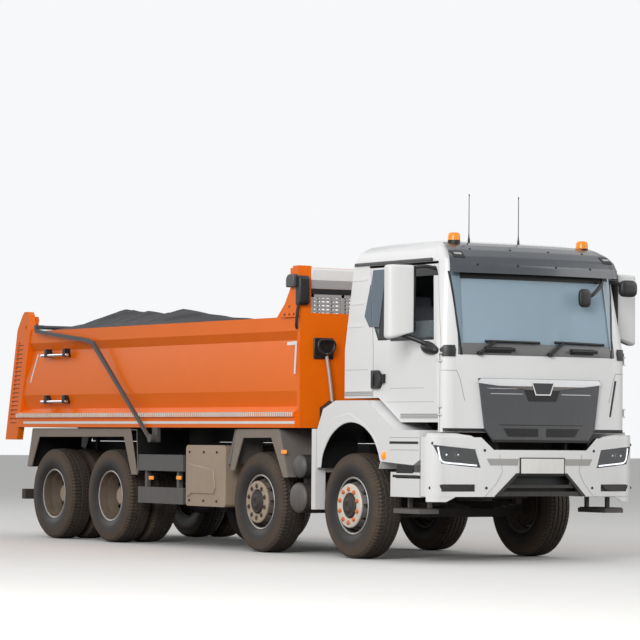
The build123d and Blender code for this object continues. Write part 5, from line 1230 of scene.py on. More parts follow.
@dataclass
class CabSide:
    """Drip rails, door handles, sill strips, mirrors and their pods."""

    mirror_y: float = 1.3575
    mirror_back: float = AXLE_1 + 1.064

    def build(self) -> None:
        """Makes both sides."""
        for word, side in SIDES.items():
            self.rails(word, side)
            self.handle(word, side)
            self.mirror(word, side)

    def rails(self, word: str, side: int) -> None:
        """Dark drip rail over the door, and grey ribbed strips along the sill and the rear panel.

        Args:
            word: the side's name, as the bodies have it.
            side: 1 for the left, -1 for the right.
        """
        parts = [sided([(2.945, AXLE_1 - 0.20, AXLE_1 + 1.19), (2.972, AXLE_1 - 0.20, AXLE_1 + 1.18)], side, 0.008,
                       0.020, "black_plastic")]
        parts += self.ribs(1.632, AXLE_1 - 0.225, AXLE_1 + 0.285, side)
        for z in (2.81, 2.57, 2.34):
            rib = [(z - 0.016, 2.775, 3.02), (z, 2.77, 3.035), (z + 0.016, 2.775, 3.02)]
            parts.append(sided(rib, side, 0.002, 0.008, "cab_paint"))
        parts.append(sided(band(1.892, 1.896, 2.77, 3.19), side, 0.0005, 0.002, "strip_grey"))
        # The door's seam leans back a quarter of a metre for each metre of height over the waist.
        quarter = [(2.318, 3.174, 3.224), (2.43, 3.063, 3.196), (2.75, 3.108, 3.115)]
        parts.append(sided(quarter, side, 0.003, 0.005, "glass_dark", 8))
        placed(join(f"cab_strips_{word}", parts), "cab")
        quarter = [(2.318, 3.235, 3.352), (2.43, 3.207, 3.355), (2.75, 3.127, 3.360), (2.895, 3.129, 3.362)]
        window_head = [(2.800, 3.40, 4.300), (2.850, 3.40, 4.275), (2.893, 3.42, 4.235)]
        sill = [(2.170, AXLE_1 + 0.60, AXLE_1 + 1.35), (2.192, AXLE_1 + 0.60, AXLE_1 + 1.345)]
        pillar = [(2.185, AXLE_1 + 0.375, AXLE_1 + 0.63), (2.80, AXLE_1 + 0.375, AXLE_1 + 0.63),
                  (2.893, AXLE_1 + 0.385, AXLE_1 + 0.63)]
        door = [sided(quarter, side, 0.003, 0.005, "glass_dark", 12),
                sided(window_head, side, 0.003, 0.006, "pit_black", 4),
                *self.ribs(1.408, AXLE_1 + 0.80, AXLE_1 + 1.44, side),
                sided(sill, side, 0.002, 0.010, "pit_black"), sided(pillar, side, 0.0015, 0.005, "pit_black", 8)]
        for z, x0, x1 in ((1.700, AXLE_1 + 0.60, AXLE_1 + 1.20), (1.565, AXLE_1 + 0.55, AXLE_1 + 1.38)):
            door.append(sided(band(z, z + 0.004, x0, x1), side, 0.0003, 0.0015, "strip_grey"))
        placed(join(f"door_strips_{word}", door), f"{word}_door")

    @staticmethod
    def ribs(z: float, x0: float, x1: float, side: int) -> list[bpy.types.Object]:
        """Three grey ribs one over the other, which make a rubbing strip."""
        levels = [z + k * 0.017 for k in range(3)]
        return [sided(band(z, z + 0.009, x0, x1), side, 0.003, 0.008, "strip_grey") for z in levels]

    def handle(self, word: str, side: int) -> None:
        """Recessed black handle with a pull bar at the door's rear edge.

        Args:
            word: the side's name, as the bodies have it.
            side: 1 for the left, -1 for the right.
        """
        x0 = AXLE_1 + 0.30
        outline = [(x0, 1.70), (x0, 1.885), (x0 + 0.11, 1.885), (x0 + 0.155, 1.845), (x0 + 0.175, 1.79),
                   (x0 + 0.165, 1.735), (x0 + 0.13, 1.70)]
        bar = [(x0 + 0.05, side * y, z) for y, z in ((1.156, 1.725), (1.163, 1.76), (1.163, 1.83), (1.156, 1.865))]
        placed(join(f"handle_{word}", [flank(outline, side, 1.112, 1.158, "black_plastic", 0.010),
                                       tube(bar, 0.010, "black_plastic", 10, 16)]), f"{word}_door")

    def mirror(self, word: str, side: int) -> None:
        """White-backed head with rounded ends and a dark glass side, its arms, and the pod at the pillar's foot.

        Args:
            word: the side's name, as the bodies have it.
            side: 1 for the left, -1 for the right.
        """
        def shell(u: np.ndarray, v: np.ndarray) -> np.ndarray:
            """A superellipse across, carried up the head, drawn in near its ends and slanted at its foot."""
            end = np.minimum(np.sin(np.pi * np.clip(v, 0, 1)) * 3.2, 1.0) ** 0.35
            slant = 0.05 * np.clip((0.25 - v) / 0.25, 0, 1)
            off = 0.155 * squared(0.45, u)[0] * (0.35 + 0.65 * end)
            y = self.mirror_y + off
            x = AXLE_1 + 1.125 + 0.068 * squared(0.6, u)[1] * end - 0.10 * (y - self.mirror_y)
            z = 2.205 + 0.69 * (0.5 - 0.5 * np.cos(np.pi * v)) - slant * (y - self.mirror_y) / 0.155
            return np.stack([x, side * y, z], -1)

        def pod(u: np.ndarray, v: np.ndarray) -> np.ndarray:
            """A flattened teardrop: an ellipse along the wall whose width falls towards the front."""
            girth = np.abs(np.sin(v)) ** 0.7
            x = AXLE_1 + 1.305 + 0.135 * np.cos(v)
            y = side * (1.112 + (0.068 * np.cos(u) + 0.006) * girth)
            z = 2.085 + 0.062 * np.sin(u) * girth * (1 - 0.2 * np.cos(v)) - 0.025 * np.cos(v)
            return np.stack([x, y, z], -1)

        def pane(corners: Points, near: float, far: float, material: str, bevel: float) -> bpy.types.Object:
            """An outline across the head's back, from one distance off it to another."""
            outline = [(side * y, z) for y, z in corners]
            return prism(outline, Turn.X, self.mirror_back + near, self.mirror_back + far, material, bevel)
        parts = [patch(shell, FULL_TURN, (0.004, 0.996), (72, 40), "cab_paint")]
        repaint(parts[0], "black_plastic", lambda c, n: (np.abs(c[:, 1]) < 1.2 + 0.05) & (c[:, 2] > 2.2))
        parts.append(pane([(1.215, 2.24), (1.215, 2.86), (1.235, 2.88), (1.48, 2.88), (1.50, 2.86), (1.50, 2.22),
                           (1.48, 2.21), (1.235, 2.22)], -0.004, 0.03, "black_plastic", 0.008))
        for glass in ([(1.235, 2.42), (1.235, 2.86), (1.48, 2.86), (1.48, 2.42)],
                      [(1.235, 2.24), (1.235, 2.40), (1.48, 2.40), (1.48, 2.23)]):
            parts.append(pane(glass, -0.008, 0.0, "mirror_glass", 0.004))
        low_arm = (1.29, 1.125, 2.11), (1.24, 1.19, 2.15), (1.17, 1.25, 2.185), (1.12, 1.33, 2.215)
        high_arm = (1.26, 1.03, 2.865), (1.22, 1.12, 2.885), (1.15, 1.24, 2.87), (1.13, 1.30, 2.84)
        for radius, arm in ((0.024, low_arm), (0.017, high_arm)):
            path = [(AXLE_1 + x, side * y, z) for x, y, z in arm]
            parts.append(tube(path, radius, "black_plastic", 14, 24))
        parts.append(patch(pod, FULL_TURN, POLE_TO_POLE, (36, 24), "black_plastic"))
        piece = join(f"mirror_dress_{word}", parts)
        placed(piece, f"{word}_door")
        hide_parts(f"mirror_{word}")


# ---------------------------------------------------------------- front end


@dataclass
class FrontEnd:
    """Headlamps, slot lamps, plate, bolts and the middle opening's frame on the bumper."""

    lamp_rows: Points = ((0.945, 0.705, 1.05), (0.975, 0.712, 1.125), (1.112, 0.752, 1.188), (1.142, 1.12, 1.195))
    shade_x: tuple[float, float] = (4.020, 4.028)

    def build(self) -> None:
        """Makes the bumper's dressing, all on the chassis."""
        parts: list[bpy.types.Object] = []
        bolt = [(-0.004, 0.014), (0.003, 0.014), (0.004, 0.0003)]
        for side in SIDES.values():
            parts += self.headlamp(side)
            for y, z in ((1.20, 1.165), (0.66, 1.10), (1.215, 0.735), (0.64, 0.735)):
                parts.append(lathe(bolt, on_skin(bumper_front, y, z, side=side), Turn.X, "pit_black", 16))
            slot = [(0.705, 0.86, 1.10), (0.735, 0.80, 1.13), (0.765, 0.78, 1.14)]
            side_slot = [(0.955, 0.29, 0.60), (1.02, 0.28, 0.64)]
            parts += [faced(bumper_front, slot, 0.0, 0.010, "black_plastic", 20, 3, side),
                      faced(bumper_front, side_slot, 0.0, 0.004, "strip_grey", 16, 3, side)]
        for side in SIDES.values():
            cap = [(1.19, 0.70, 1.228), (1.24, 0.80, 1.228), (1.262, 0.97, 1.222)]
            lip = [(0.600, 1.06, 1.232), (0.655, 0.95, 1.232)]
            seam = [on_skin(bumper_front, y, z, 0.0015, side)
                    for z, y in ((1.058, 0.50), (0.90, 0.462), (0.785, 0.526), (0.655, 0.655))]
            parts += [faced(bumper_front, cap, -0.024, 0.024, "cab_paint", 24, 3, side),
                      faced(bumper_front, lip, -0.010, 0.010, "cab_paint", 16, 2, side),
                      tube(seam, 0.0022, "strip_grey", 6)]
        for rows, lift, thick, name, up in (
                (band(0.868, 1.032, -0.27, 0.27), 0.006, 0.010, "pit_black", 3),
                (band(0.878, 1.022, -0.258, 0.258), 0.012, 0.004, "white_tape", 3),
                (band(0.852, 0.878, -0.36, 0.36), -0.03, 0.03, "black_plastic", 2),
                (band(0.735, 0.765, -0.44, 0.44), -0.03, 0.03, "black_plastic", 2),
                (even((0.655, 0.548), (0.70, 0.51)), -0.02, 0.03, "black_plastic", 2)):
            parts.append(faced(bumper_front, rows, lift, thick, name, 30, up))
        leg = [(0.655, 0.50, 0.552), (0.88, 0.27, 0.308)]
        parts += [faced(bumper_front, leg, -0.006, 0.02, "black_plastic", 6, 8, side) for side in SIDES.values()]
        # The plate behind the bumper's middle opening and the plate behind the gap under the grille are near-black
        # sheets where only shade falls: painted shade.
        parts += [faced(bumper_front, even((0.655, 0.52), (0.878, 0.29)), -0.09, 0.01, "pit_black", 20, 4),
                  prism(oblong(-0.78, 0.78, 1.02, 1.20), Turn.X, *self.shade_x, "pit_black", 0)]
        placed(join("bumper_dress", parts), "chassis")

    def headlamp(self, side: int) -> list[bpy.types.Object]:
        """Dark housing, two projector lenses, an L of running light and a clear cover.

        Args:
            side: 1 for the left, -1 for the right.

        Returns:
            The pieces, in the order that they are joined in.
        """
        cup = [(0.0, 0.047), (0.012, 0.046), (0.010, 0.040), (0.002, 0.030), (0.010, 0.018), (0.014, 0.0003)]
        bulb = [(0.006, 0.020), (0.016, 0.014), (0.019, 0.0003)]
        parts = [faced(bumper_front, self.lamp_rows, -0.030, 0.006, "pit_black", 30, 4, side)]
        for y in (0.93, 1.05):
            place = (on_skin(bumper_front, y, 1.05, -0.03)[0], side * y, 1.055)
            parts += [lathe(cup, place, Turn.X, "reflector", 32), lathe(bulb, place, Turn.X, "white_lamp", 24)]
        running = [on_skin(bumper_front, y, z, -0.014, side)
                   for y, z in ((1.150, 1.128), (1.115, 1.000), (1.02, 0.975), (0.93, 0.968), (0.74, 0.952))]
        return parts + [tube(running, 0.0085, "white_lamp", 10, 40),
                        faced(bumper_front, self.lamp_rows, -0.002, 0.003, "lens", 30, 4, side)]


# ---------------------------------------------------------------- tipping body


@dataclass
class BodyDress:
    """Ledge, tape, handles, roller housing, mesh window, covers and the shovel on the tipping body."""

    front: float = 2.12
    tape: tuple[float, float] = (1.2795, 1.2825)
    wall_z: Sequence[float] = (1.31, 1.41, 1.43, 1.465, 1.53, 1.69, 1.87, 2.215, 2.31, 2.455)
    wall_y: Sequence[float] = (1.28, 1.28, 1.30, 1.30, 1.222, 1.26, 1.26, 1.212, 1.26, 1.26)
    roller_half: float = 1.131
    window_half: float = 1.128

    def build(self) -> None:
        """Makes the tipping body's dressing."""
        placed(join("body_tapes", [part for side in SIDES.values() for part in self.flanks(side)]), "body")
        self.headboard()
        self.sheet_motor()
        self.shovel()

    def flanks(self, side: int) -> list[bpy.types.Object]:
        """Serrated silver ledge, contour tape, catches and the tailgate post's slots on one side.

        Args:
            side: 1 for the left, -1 for the right.

        Returns:
            The pieces, in the order that they are joined in.
        """
        parts = [self.ledge(side), flank(oblong(-4.12, 2.06, 1.350, 1.378), side, *self.tape, "white_tape")]
        for x0, x1, z0, z1 in ((1.80, 1.985, 2.165, 2.20), (-3.83, -3.576, 2.145, 2.178)):
            parts.append(self.wall_tape(side, x0, x1, z0, z1))
        corner = [(1.99, 2.165), (2.062, 2.165), (2.040, 1.863), (2.070, 1.863), (2.096, 2.20), (1.99, 2.20)]
        parts.append(flank(corner, side, 1.2803, 1.2828, "white_tape"))
        slanted = self.wall_tape(side, -3.89, -3.862, 1.842, 2.178)
        slanted.data.vertices.foreach_set("co", self.leaned(slanted))
        parts.append(slanted)
        for z in (2.155, 1.610):
            parts.append(tube([(-3.62, side * 1.300, z), (-2.97, side * 1.300, z)], 0.0175, "ram_chrome", 16))
            for x in (-3.50, -3.04):
                bracket = [(x - 0.03, z - 0.022), (x + 0.05, z - 0.022), (x + 0.03, z + 0.075), (x - 0.02, z + 0.075)]
                parts.append(flank(bracket, side, 1.240, 1.320, "pit_black", 0.006))
        # The slots through the tailgate post are dark strips on the wall: painted shade inside the holes.
        for k in range(19):
            z = 2.290 - k * 0.0515
            x = -4.322 - (2.290 - z) * 0.192
            slot = oblong(x + 0.01, x + 0.165, z - 0.006, z + 0.007)
            parts.append(flank(slot, side, 1.2745, 1.2765, "slot_brown"))
        return parts

    @staticmethod
    def ledge(side: int) -> bpy.types.Object:
        """A strip along the body's foot whose edge steps in and out every three of its 900 points.

        Args:
            side: 1 for the left, -1 for the right.

        Returns:
            The strip.
        """
        count = 900
        x = np.linspace(-4.28, 2.06, count)
        edge = side * (1.2985 + 0.009 * (np.arange(count) % 6 < 3))
        rows = [np.stack([x, y + 0 * x, np.full(count, z)], -1)
                for y, z in ((edge, 1.426), (edge, 1.472), (side * 1.272, 1.476))]
        strip = new_object("ledge", np.stack(rows, 0).reshape(-1, 3), grid_faces(3, count), "ledge_steel", None)
        # The stepped-in faces of the notches between the teeth, and the strip's top, take a darker grey: painted shade
        # in the notches.
        repaint(strip, "strip_grey", lambda c, n: np.abs(c[:, 1]) < 1.3025)
        return strip

    @staticmethod
    def leaned(strip: bpy.types.Object) -> np.ndarray:
        """The strip's points, moved back by a third of how far they lie below its top.

        Args:
            strip: an upright strip of tape.

        Returns:
            The new coordinates, one after another.
        """
        points = np.empty(len(strip.data.vertices) * 3)
        strip.data.vertices.foreach_get("co", points)
        points = points.reshape(-1, 3)
        points[:, 0] += (points[:, 2] - 2.164) * 0.326
        return points.ravel()

    def wall_tape(self, side: int, x0: float, x1: float, z0: float, z1: float) -> bpy.types.Object:
        """A strip of tape on the folded wall, whose half width is read from the wall's section."""
        def wall(u: np.ndarray, v: np.ndarray) -> np.ndarray:
            """The wall's skin at a place along and up it."""
            return np.stack([u, side * (np.interp(v, self.wall_z, self.wall_y) + 0.0022), v], -1)
        return patch(wall, (x0, x1), (z0, z1), (6, 6), "white_tape")

    def headboard(self) -> None:
        """Roller housing over the headboard, its gussets, and the punched window under it."""
        front, reach = self.front, (-self.roller_half, self.roller_half)
        cover = [(front - 0.212, 2.83), (front + 0.010, 2.83), (front + 0.010, 2.945), (front - 0.008, 2.968),
                 (front - 0.19, 2.968), (front - 0.212, 2.945)]
        box = [(front - 0.210, 2.829), (front + 0.009, 2.829), (front + 0.006, 2.745), (front - 0.205, 2.745)]
        # A black block fills the gap between the grey box and the window: painted shade in the gap.
        gap = [(front - 0.05, 2.744), (front + 0.002, 2.744), (front + 0.002, 2.69), (front - 0.05, 2.69)]
        parts = [prism(cover, Turn.Y, *reach, "cab_paint", 0.008), prism(box, Turn.Y, *reach, "strip_grey", 0.004),
                 prism(gap, Turn.Y, *reach, "pit_black", 0.002)]
        gusset = [(1.777, 2.45), (1.86, 2.596), (1.965, 2.749), (2.068, 2.902), (2.089, 2.957), (2.118, 2.957),
                  (2.118, 2.45)]
        bolt = [(1.287, 0.013), (1.294, 0.012), (1.295, 0.0003)]
        for side in SIDES.values():
            parts.append(flank(gusset, side, 1.2805, 1.288, "orange_paint", 0.002))
            parts += [lathe(bolt, (x, 0, z), Turn.Y, "slot_brown", 12, way=side)
                      for x, z in ((1.86, 2.48), (1.95, 2.48), (1.95, 2.56), (2.04, 2.48))]
        back, face, bars = front - 0.03, front - 0.004, front - 0.018
        for z0, z1 in ((2.655, 2.69), (2.457, 2.49)):
            parts.append(prism(oblong(back, face, z0, z1), Turn.Y, -self.window_half, self.window_half, "strip_grey",
                               0.003))
        for k in range(7):
            y = -self.window_half + k * (2 * self.window_half - 0.04) / 6
            parts.append(prism(oblong(y, y + 0.04, 2.457, 2.69), Turn.X, back, face, "strip_grey", 0.003))
        uprights = [-1.11 + k * 0.0555 for k in range(41)]
        parts += [tube([(bars, y, 2.46), (bars, y, 2.69)], 0.013, "strip_grey", 6) for y in uprights]
        levels = [2.515 + k * 0.040 for k in range(4)]
        parts += [tube([(bars, -1.12, z), (bars, 1.12, z)], 0.0125, "strip_grey", 6) for z in levels]
        placed(join("roller_dress", parts), "body")

    def sheet_motor(self) -> None:
        """The sheet's motor on the right: a rounded cover, its case and a short hose."""
        front = self.front
        cover = [(front - 0.02, 2.57), (front + 0.05, 2.57), (front + 0.07, 2.60), (front + 0.07, 2.85),
                 (front + 0.045, 2.875), (front - 0.02, 2.875)]
        case = [(front - 0.15, 2.756), (front, 2.756), (front, 2.89), (front - 0.11, 2.89), (front - 0.15, 2.85)]
        hose = [(front + x, -1.27 - y, z) for x, y, z in (
            (0.03, 0.03, 2.58), (0.03, 0.045, 2.50), (0.02, 0.045, 2.42), (-0.01, 0.03, 2.36), (-0.03, 0.012, 2.335))]
        placed(join("sheet_motor", [flank(cover, -1, 1.185, 1.312, "black_plastic", 0.014),
                                    flank(case, -1, 1.289, 1.35, "guard_grey", 0.012),
                                    tube(hose, 0.015, "rubber", 12, 30)]), "body")

    def shovel(self) -> None:
        """Shovel hung on the headboard: a D grip, a steel shaft and its lower holder."""
        front, x = self.front, self.front + 0.045
        grip = [(x + 0.03, y, z) for y, z in ((-0.985, 2.06), (-1.06, 2.10), (-1.075, 2.19), (-0.98, 2.215),
                                              (-0.89, 2.19), (-0.905, 2.10), (-0.975, 2.06))]
        shaft = [(x + 0.02, -0.98, 2.08), (x + 0.015, -0.93, 1.80), (x + 0.01, -0.895, 1.56)]
        holder = [(-1.02, 1.27), (-0.80, 1.27), (-0.80, 1.56), (-0.90, 1.60), (-1.02, 1.52)]
        placed(join("shovel", [prism(oblong(-1.10, -0.86, 2.02, 2.24), Turn.X, front, front + 0.02, "black_plastic",
                                     0.01),
                               tube(grip, 0.017, "black_plastic", 12, 48), tube(shaft, 0.018, "silver", 14, 20),
                               prism(holder, Turn.X, front, front + 0.07, "black_plastic", 0.012)]), "body")


@dataclass
class BodySheet:
    """The dark mesh sheet over the load space: heaped in two humps at the back and low in front."""

    rear: float = -3.71
    front: float = 1.91
    rim: float = 2.457
    half: float = 1.214
    ridge_y: float = -0.5

    def rise(self, x: np.ndarray) -> np.ndarray:
        """Height of the ridge along the body: two pitched peaks and a low run forward, corners rounded a little."""
        places, heights = (self.rear, -3.05, -2.2, -1.45, -0.95, self.front), (0.03, 0.245, 0.165, 0.19, 0.035, 0.02)
        return sum(np.interp(x + shift, places, heights) for shift in (-0.09, -0.03, 0.03, 0.09)) / 4

    def build(self) -> None:
        """The sheet: the ridge times a tent whose top is towards the right, plus folds that fan from the peaks."""
        def cloth(u: np.ndarray, v: np.ndarray) -> np.ndarray:
            """The cloth at a place along and across the body, never lower than the rim lets it lie."""
            tent = np.where(v < self.ridge_y, np.clip((v + self.half) / (self.half + self.ridge_y), 0, 1),
                            1 - (v - self.ridge_y) / (self.half - self.ridge_y))
            across = np.abs(v) / self.half
            fan = np.arctan2(v - self.ridge_y, u + 3.05)
            folds = (0.014 * np.abs(np.sin(5.5 * fan + 1.3)) + 0.010 * np.sin(9 * u + 4.0 * v)
                     + 0.007 * np.sin(17 * u - 8 * v + 1.0) + 0.004 * np.sin(37 * u + 2 * np.sin(6 * v)))
            height = self.rise(u)
            level = self.rim + height * tent + folds * np.clip(height / 0.15, 0.1, 1) * (1 - across ** 4)
            return np.stack([u, v, np.maximum(level, self.rim - 0.001 + 0.006 * (1 - across))], -1)
        piece = walled(patch(cloth, (self.rear, self.front), (-self.half, self.half), (300, 110), "sheet_mesh",
                             "body_sheet"), 0.004)
        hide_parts("sheet")
        placed(piece, "body")


@dataclass
class Seats:
    """Two sprung seats on pedestals with crowned cushions, and the steering wheel before the right-hand one."""

    seat_y: float = 0.56
    wheel: tuple[float, float, float] = (4.01, -0.56, 2.13)

    def build(self) -> None:
        """The set takes the place of the plain seats; the steering wheel is a ring, a column and three spokes."""
        parts = []
        for y in (-self.seat_y, self.seat_y):
            for centre, size, lean in (((3.57, 1.958), (0.25, 0.238, 0.060), 0.0),
                                       ((3.335, 2.26), (0.062, 0.228, 0.285), -0.16),
                                       ((3.272, 2.585), (0.045, 0.13, 0.056), -0.16)):
                parts.append(self.cushion(y, centre, size, lean))
            foot = [(3.36, 1.602), (3.78, 1.602), (3.76, 1.897), (3.38, 1.897)]
            parts.append(prism(foot, Turn.Y, y - 0.165, y + 0.165, "trim_dark", 0.015))
        piece = join("seat_set", parts)
        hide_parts("seats")
        placed(piece, "cab")
        turn = np.linspace(0, 2 * math.pi, 49)
        x, y, z = self.wheel
        ring = np.stack([x - 0.10 * np.sin(turn), y + 0.21 * np.cos(turn), z + 0.18 * np.sin(turn)], -1)
        wheel = [tube(ring, 0.015, "trim_dark", 12), tube([(4.16, y, 1.98), self.wheel], 0.035, "trim_dark", 14)]
        wheel += [tube([self.wheel, end], 0.013, "trim_dark", 8)
                  for end in ((x, -0.76, z), (x, -0.36, z), (4.10, y, 1.97))]
        placed(join("steering_wheel", wheel), "cab")

    @staticmethod
    def cushion(y: float, centre: Sequence[float], size: Sequence[float], lean: float) -> bpy.types.Object:
        """A cushion: a squared-off ellipsoid with a shallow seam near each side, leaning back as it rises.

        Args:
            y: the seat's middle.
            centre: the cushion's X and Z.
            size: its half length, half width and half height.
            lean: how far it moves along X for each metre up.

        Returns:
            The cushion.
        """
        def form(u: np.ndarray, v: np.ndarray) -> np.ndarray:
            """Its points by turn and tilt."""
            cos_u, sin_u, cos_v, sin_v = squared(0.42, u, v)
            up = size[2] * cos_v
            seam = 1 - 0.05 * np.exp(-((np.abs(sin_u * sin_v) - 0.62) / 0.05) ** 2)
            return np.stack([centre[0] + size[0] * cos_u * sin_v * seam + lean * up, y + size[1] * sin_u * sin_v,
                             centre[1] + up * seam], -1)
        return patch(form, FULL_TURN, POLE_TO_POLE, (72, 40), "seat_cloth")


# ---------------------------------------------------------------- chassis


@dataclass
class ChassisDress:
    """Treatment box pressings, mudguard flanges, tank ends, markers, steps and arch flares along the chassis."""

    guard_face: tuple[float, float] = (1.236, 1.254)
    tank_y: float = 1.180

    def build(self) -> None:
        """Makes the chassis dressing."""
        self.box()
        for name, dress in (("guard_flanges", self.guards), ("side_markers", self.markers)):
            placed(join(name, [part for side in SIDES.values() for part in dress(side)]), "chassis")
        parts = [part for side in SIDES.values() for part in self.steps(side)]
        # A near-black panel behind the cab: partly the dark splash guard there, partly painted shade in the gap
        # between cab and body.
        parts.append(prism(oblong(-0.62, 0.62, 1.16, 1.45), Turn.X, 2.600, 2.608, "pit_black", 0.002))
        placed(join("step_dress", parts), "chassis")

    def box(self) -> None:
        """A raised panel and bolts on the treatment box."""
        press = [(-0.225, 0.925), (0.349, 0.861), (0.385, 0.66), (0.35, 0.595), (-0.13, 0.595), (-0.17, 0.565),
                 (-0.225, 0.56)]
        bolt = [(-1.236, 0.014), (-1.245, 0.013), (-1.246, 0.0003)]
        parts = [prism(press, Turn.Y, -1.246, -1.232, "box_beige", 0.008)]
        parts += [lathe(bolt, (x, 0, z), Turn.Y, "iron", 6) for x in (-0.178, 0.130, 0.410) for z in (0.520, 1.045)]
        placed(join("box_panels", parts), "chassis")

    def guards(self, side: int) -> list[bpy.types.Object]:
        """Pressed flanges round one side's mudguards and the domed ends of its air tanks.

        Args:
            side: 1 for the left, -1 for the right.

        Returns:
            The pieces, in the order that they are joined in.
        """
        rear = [(-4.062, 0.844), (-3.947, 1.225), (-3.925, 1.298), (-1.506, 1.300), (-1.342, 0.779), (-1.468, 0.777),
                (-1.657, 1.203), (-3.758, 1.195), (-3.948, 0.845)]
        middle = [(0.716, 0.854), (0.822, 1.247), (0.866, 1.296), (1.705, 1.300), (1.886, 0.795), (1.80, 0.794),
                  (1.555, 1.204), (0.981, 1.201), (0.807, 0.855)]
        parts = [flank(outline, side, *self.guard_face, "flange_grey", 0.006) for outline in (rear, middle)]
        for x, z, radius in ((AXLE_1 - 0.995, 0.590, 0.155), (AXLE_1 - 0.970, 0.915, 0.120)):
            dome = [(self.tank_y + 0.055 * math.sin(a), max(radius * math.cos(a), 0.0003))
                    for a in np.linspace(0, math.pi / 2, 9)]
            dome[0] = (self.tank_y - 0.002, radius + 0.002)
            parts.append(lathe(dome, (x, 0, z), Turn.Y, "guard_grey", 40, way=side))
        return parts

    def markers(self, side: int) -> list[bpy.types.Object]:
        """Orange side markers on the guards, the fender and the tank brackets of one side.

        Args:
            side: 1 for the left, -1 for the right.

        Returns:
            The pieces, in the order that they are joined in.
        """
        lamp = [(1.249, 0.042), (1.256, 0.041), (1.262, 0.030), (1.264, 0.0004)]
        parts = []
        for x, z in ((-3.99, 0.75), (-3.37, 0.76), (-1.17, 1.06)):
            outline = oblong(AXLE_1 + x - 0.05, AXLE_1 + x + 0.05, z - 0.02, z + 0.02)
            parts.append(flank(outline, side, 1.249, 1.262, "amber_lamp", 0.004))
        return parts + [lathe(lamp, (AXLE_1 + 0.70, 0, 1.04), Turn.Y, "amber_lamp", 28, way=side)]

    def steps(self, side: int) -> list[bpy.types.Object]:
        """Dark slots and treads in one side's step box and a smooth lip over its fender's many-sided arch.

        Args:
            side: 1 for the left, -1 for the right.

        Returns:
            The pieces, in the order that they are joined in.
        """
        # The near-black slots stand for the recesses under the step box's shelves: painted shade.
        parts = [flank(oblong(AXLE_1 + x0, AXLE_1 + x1, z - 0.012, z + 0.012), side, 1.246, 1.2535, "pit_black")
                 for x0, x1, z in ((0.80, 1.30, 1.168), (0.86, 1.30, 0.842))]
        inner = [(2.52, 0.905), (2.56, 1.05), (2.70, 1.225), (2.90, 1.335), (3.10, 1.365), (3.30, 1.325),
                 (3.47, 1.222), (3.575, 1.085), (3.615, 0.985)]
        outer = [(3.645, 0.985), (3.525, 1.215), (3.335, 1.348), (3.05, 1.460), (2.80, 1.420), (2.60, 1.307),
                 (2.475, 1.190), (2.455, 0.905)]
        arch = [*smooth_path(np.array(inner), 60), *outer]
        # The well is near-black: painted shade in the recess.
        well = [(3.911, 0.871), (4.206, 0.871), (4.206, 0.95), (3.925, 0.95)]
        parts += [flank(arch, side, 1.238, 1.2525, "cab_paint", 0.005), flank(well, side, 1.246, 1.2525, "pit_black")]
        parts += [flank(oblong(3.80, 4.30, z, z + 0.005), side, 1.248, 1.2515, "strip_grey") for z in (1.095, 1.215)]
        treads = [AXLE_1 + 0.88 + k * 0.036 for k in range(12)]
        return parts + [flank(oblong(x, x + 0.018, 0.525, 0.533), side, 1.02, 1.235, "iron") for x in treads]


# ---------------------------------------------------------------- studio


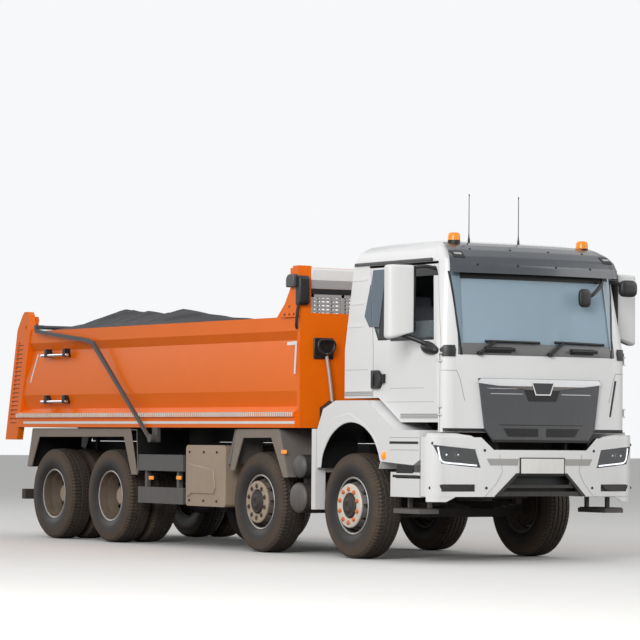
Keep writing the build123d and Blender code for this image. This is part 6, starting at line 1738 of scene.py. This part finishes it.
@dataclass
class Studio:
    """Camera, lamps, world and floor for the photograph's view."""

    azimuth: float = 57.845
    elevation: float = -2.25
    roll: float = 0.507
    distance: float = 33.543
    target: tuple[float, float, float] = (AXLE_1 - 2.492, 0.0, 2.499)
    lens: float = 172.4
    floor_half: float = 160.0

    def build(self) -> None:
        """Makes everything that isn't the truck."""
        self.camera()
        self.lamps()
        self.world()
        self.floor()

    def camera(self) -> None:
        """A long lens placed by azimuth, elevation and distance from the target, with a slight roll."""
        data = bpy.data.cameras.new("photo_camera")
        data.lens, data.sensor_width, data.clip_end = self.lens, 36.0, 300.0
        camera = bpy.data.objects.new("photo_camera", data)
        bpy.context.collection.objects.link(camera)
        a, e, r = (math.radians(v) for v in (self.azimuth, self.elevation, self.roll))
        back = Vector((math.sin(a) * math.cos(e), -math.cos(a) * math.cos(e), math.sin(e)))
        right = (-back).cross(Vector((0, 0, 1))).normalized()
        up = right.cross(-back)
        rolled = right * math.cos(r) + up * math.sin(r), up * math.cos(r) - right * math.sin(r)
        matrix = Matrix((*rolled, back)).transposed().to_4x4()
        matrix.translation = Vector(self.target) + back * self.distance
        camera.matrix_world = matrix
        bpy.context.scene.camera = camera

    @staticmethod
    def lamps() -> None:
        """A broad soft key from the front right, a fill from the left, one from behind and a top light."""
        for name, place, aim, size, power in (
                ("key", (16, -16, 9), (0, 0, 1.6), 9, 3000), ("fill", (14, 16, 9), (0, 0, 1.5), 12, 900),
                ("back", (-20, -8, 12), (0, 0, 1), 12, 800), ("top", (0, 0, 18), (0, 0, 0), 14, 350)):
            data = bpy.data.lights.new(name, "AREA")
            data.size, data.energy = size, power
            lamp = bpy.data.objects.new(name, data)
            bpy.context.collection.objects.link(lamp)
            lamp.location = place
            lamp.rotation_euler = (Vector(aim) - Vector(place)).to_track_quat("-Z", "Y").to_euler()

    @staticmethod
    def world() -> None:
        """A pale world that is brighter to the camera, gloss and glass than to the surfaces that it lights."""
        world = bpy.data.worlds.new("studio")
        bpy.context.scene.world = world
        world.use_nodes = True
        make = NodeMaker(world.node_tree)
        back = world.node_tree.nodes["Background"]
        path = make.node("ShaderNodeLightPath")
        seen = make.maths("MAXIMUM", path.outputs["Is Camera Ray"],
                          make.maths("MAXIMUM", path.outputs["Is Glossy Ray"], path.outputs["Is Transmission Ray"]))
        back.inputs["Color"].default_value = (0.93, 0.94, 0.95, 1)
        make.link(make.maths("ADD", make.maths("MULTIPLY", seen, 0.55), 0.45), back.inputs["Strength"])
        bpy.context.scene.view_settings.view_transform = "Standard"

    def floor(self) -> None:
        """A wide pale floor with faint unevenness, which looks darker to the camera than it lights."""
        span = self.floor_half
        verts = np.array([(-span, -span, 0), (span, -span, 0), (span, span, 0), (-span, span, 0)])
        floor = new_object("floor", verts, [(0, 1, 2, 3)], "floor_pale", None)
        tree = floor.data.materials[0].node_tree
        make, color = NodeMaker(tree), tree.nodes["Principled BSDF"].inputs["Base Color"]
        seen = make.node("ShaderNodeLightPath").outputs["Is Camera Ray"]
        make.link(make.mix(seen, (0.30, 0.29, 0.28, 1), color.links[0].from_socket), color)


def main() -> None:
    """Builds the studio and the truck's dressings in order."""
    logging.basicConfig(level=logging.INFO, format="%(name)s %(message)s")
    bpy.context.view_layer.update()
    build_dust_group()
    build_grain_group()
    Studio().build()
    dress_nodes()
    for assembly in (Wheels(), CabFront(), CabSide(), FrontEnd(), BodyDress(), BodySheet(), Seats(),
                     ChassisDress()):
        assembly.build()
        LOG.info("built %s", type(assembly).__name__)


if __name__ == "__main__":
    main()
